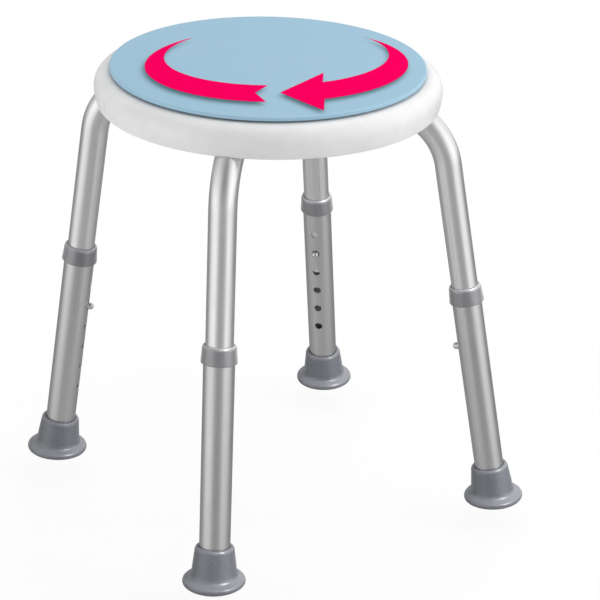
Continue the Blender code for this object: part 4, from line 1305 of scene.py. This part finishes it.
def build_floor():
    near = floor_piece("studio_floor", [0.3, 0.6], True)
    # further out the floor is only looked at, and adds nothing to the light
    far = floor_piece("studio_floor_far", [0.6, 1.2, 2.5, 5.0, 9.0], False)
    far.visible_diffuse = far.visible_shadow = False
    m = bpy.data.materials.new("studio_floor")
    m.use_nodes = True
    s = Shader.__new__(Shader)
    s.tree = m.node_tree
    s.tree.nodes.clear()
    out = s.add("ShaderNodeOutputMaterial")
    co = s.add("ShaderNodeTexCoord").outputs["Object"]
    diff = s.add("ShaderNodeBsdfDiffuse")
    s.put(diff.inputs["Color"], s.mix(s.span(s.noise(co, 3.0, 3.0), 0.3, 0.7), (0.95, 0.95, 0.95), (0.93, 0.93, 0.93)))
    glow = s.add("ShaderNodeEmission")
    glow.inputs["Strength"].default_value = 1.0
    path = s.add("ShaderNodeLightPath")
    # burnt out to white away from the stool
    edge = s.span(s.vmath("LENGTH", co), 0.25, 0.55, FLOOR_GLOW, 1.0)
    amount = s.math("MULTIPLY", path.outputs["Is Camera Ray"], edge)
    seen = s.add("ShaderNodeMixShader")
    s.put(seen.inputs[0], amount)
    s.tree.links.new(diff.outputs[0], seen.inputs[1])
    s.tree.links.new(glow.outputs[0], seen.inputs[2])
    # from below the floor is not there, so the underside can be looked at
    geo = s.add("ShaderNodeNewGeometry")
    clear = s.add("ShaderNodeBsdfTransparent")
    side = s.add("ShaderNodeMixShader")
    s.put(side.inputs[0], geo.outputs["Backfacing"])
    s.tree.links.new(seen.outputs[0], side.inputs[1])
    s.tree.links.new(clear.outputs[0], side.inputs[2])
    s.tree.links.new(side.outputs[0], out.inputs["Surface"])
    near.data.materials.append(m)
    far.data.materials.append(m)


FLOOR_GLOW = 0.90
# the floor lies at the soles with the legs drawn out to their longest
FLOOR_Z = -0.0245


def build_camera():
    pan, tilt, roll = 0.14740, 0.51757, 0.06400
    fw = Vector((math.sin(pan) * math.cos(tilt), math.cos(pan) * math.cos(tilt), -math.sin(tilt)))
    rt = Vector((math.cos(pan), -math.sin(pan), 0))
    up = rt.cross(fw)
    rt2 = math.cos(roll) * rt + math.sin(roll) * up
    up2 = -math.sin(roll) * rt + math.cos(roll) * up
    spin = Matrix.Rotation(math.radians(VIEW_AZIMUTH), 3, "Z")
    m = Matrix((spin @ rt2, spin @ up2, -(spin @ fw))).transposed().to_4x4()
    m.translation = spin @ Vector((0, -2.11788, 1.12875))
    data = bpy.data.cameras.new("camera")
    cam = bpy.data.objects.new("camera", data)
    bpy.context.scene.collection.objects.link(cam)
    cam.matrix_world = m
    data.sensor_width = 36
    data.lens = 2350.65 * 36 / 600
    data.clip_start, data.clip_end = 0.05, 60
    # the off-centre framing belongs to this one position; anywhere else the
    # camera looks straight at the stool
    for prop, value in (("shift_x", (300 - 576.64) / 600), ("shift_y", (548.22 - 300) / 600)):
        setattr(data, prop, value)
        drv = data.driver_add(prop).driver
        drv.type = "SCRIPTED"
        var = drv.variables.new()
        var.name = "x"
        var.type = "TRANSFORMS"
        var.targets[0].id = cam
        var.targets[0].transform_type = "LOC_X"
        var.targets[0].transform_space = "WORLD_SPACE"
        drv.expression = "%.6f if abs(x - %.6f) < 0.0005 else 0" % (value, m.translation.x)
    bpy.context.scene.camera = cam
    return cam


# ======================================================================= main
def main():
    for o in list(bpy.data.objects):
        bpy.data.objects.remove(o, do_unlink=True)
    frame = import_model()

    mats = {
        "white": white_plastic(),
        "blue": blue_plastic(),
        "magenta": magenta_vinyl(),
        "upper": aluminium("aluminium_upper", (0.80, 0.80, 0.81), (0.72, 0.72, 0.73), 0.26, 0.36, 1.0, 0.0120, 0.16, 0.16),
        "lower": aluminium("aluminium_lower", (0.64, 0.64, 0.645), (0.56, 0.56, 0.565), 0.30, 0.40, 1.3, 0.0138, 0.22),
        "collar": grey_plastic(),
        "rubber": grey_rubber(),
        "acetal": acetal(),
        "zinc": zinc_steel(),
        "steel": polished_steel(),
        "spring": spring_steel(),
    }

    stand_for(build_seat_base(mats["white"]), "seat_base", "root")
    stand_for(build_disc(mats["blue"]), "swivel_disc", "swivel")
    stand_for(build_arrow("stool_arrow_tail", tail_outline(), mats["magenta"]), "rotation_arrow_tail", "swivel")
    stand_for(build_arrow("stool_arrow_head", head_outline(), mats["magenta"]), "rotation_arrow_head", "swivel")
    where = {n: b for b, ns in frame["record"]["behaviour"]["bodies"].items() for n in ns}
    stand_for(build_glide(mats["acetal"]), "glide_ring", where["glide_ring"])
    bolt, bush, washer, nut = build_pivot(mats)
    stand_for(bolt, "pivot_bolt", where["pivot_bolt"])
    stand_for(bush, "pivot_bush", where["pivot_bush"])
    stand_for(washer, "pivot_washer", where["pivot_washer"])
    stand_for(nut, "pivot_nut", where["pivot_nut"])
    stand_for(build_tube("stool_frame_tube_a", PRESS_SHIFT, 45.0, mats["upper"]), "frame_tube_a", "root")
    stand_for(build_tube("stool_frame_tube_b", -PRESS_SHIFT, 135.0, mats["upper"]), "frame_tube_b", "root")

    saddle, screw = build_saddle(mats["white"]), build_screw(mats["zinc"])
    lower, collar = build_extension(mats["lower"]), build_collar(mats["collar"])
    foot, button = build_foot(mats["rubber"]), build_button(mats["steel"])
    spring, pad = build_spring(mats["spring"]), build_foot_washer(mats["zinc"])
    for leg, (axis, level) in leg_frames(frame).items():
        u = Vector((level[0][0], level[1][0], 0))
        hub = turn(math.degrees(math.atan2(u.y, u.x)))
        stand_for(copy_of(saddle, "stool_tube_saddle_" + leg, hub), "tube_saddle_" + leg, where["tube_saddle_" + leg])
        for side, y in (("a", -SADDLE_SCREW), ("b", SADDLE_SCREW)):
            node = "saddle_screw_%s_%s" % (leg, side)
            at = hub @ Matrix.Translation((SADDLE_AT, y, 0))
            stand_for(copy_of(screw, "stool_" + node, at), node, where[node])
        for source, part, at, slot in (
                (lower, "leg_extension", axis, "lower_tube"), (collar, "leg_collar", axis, "collar"),
                (pad, "foot_washer", axis, "zinc_steel"), (spring, "button_spring", axis, "spring_steel"),
                (button, "snap_button", axis @ Matrix.Translation((0, 0, BUTTON_T)), "button_steel"),
                (foot, "rubber_foot", level, "foot_rubber")):
            node = "%s_%s" % (part, leg)
            o = copy_of(source, "stool_" + node, at)
            if part != "button_spring":
                stand_for(o, node, where[node])
                continue
            # the leaf gets a mesh of its own, baked where it stands and attached to no body
            o.data = o.data.copy()
            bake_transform(o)
            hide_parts(node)
    for o in (saddle, screw, lower, collar, foot, button, spring, pad):
        bpy.data.objects.remove(o, do_unlink=True)

    # any CAD node still shown gets the zinc finish
    for n, o in frame["nodes"].items():
        if not o.hide_render:
            o.data.materials.clear()
            o.data.materials.append(mats["zinc"])

    scene = bpy.context.scene
    scene.view_settings.view_transform = "Standard"
    scene.view_settings.look = "None"
    build_world()
    build_floor()
    area_light("key_right", 76, 26, 2.6, 1.4, 30)
    area_light("fill_left", -72, 0, 2.6, 1.8, 22)
    area_light("top_back", 150, 62, 2.4, 1.8, 19)
    area_light("front_low", 0, 18, 3.0, 1.8, 3)
    shines = [area_light("shine_right", 58, 44, 2.6, 0.9, 60, glossy=True), area_light("shine_front", 8, 40, 2.2, 0.5, 4, glossy=True)]
    lit = bpy.data.collections.new("shine_receivers")
    for o in scene.objects:
        if o.name.startswith(("stool_rubber_foot", "stool_leg_collar")):
            lit.objects.link(o)
    for shine in shines:
        shine.data.diffuse_factor = 0.0
        shine.light_linking.receiver_collection = lit
    build_camera()


main()
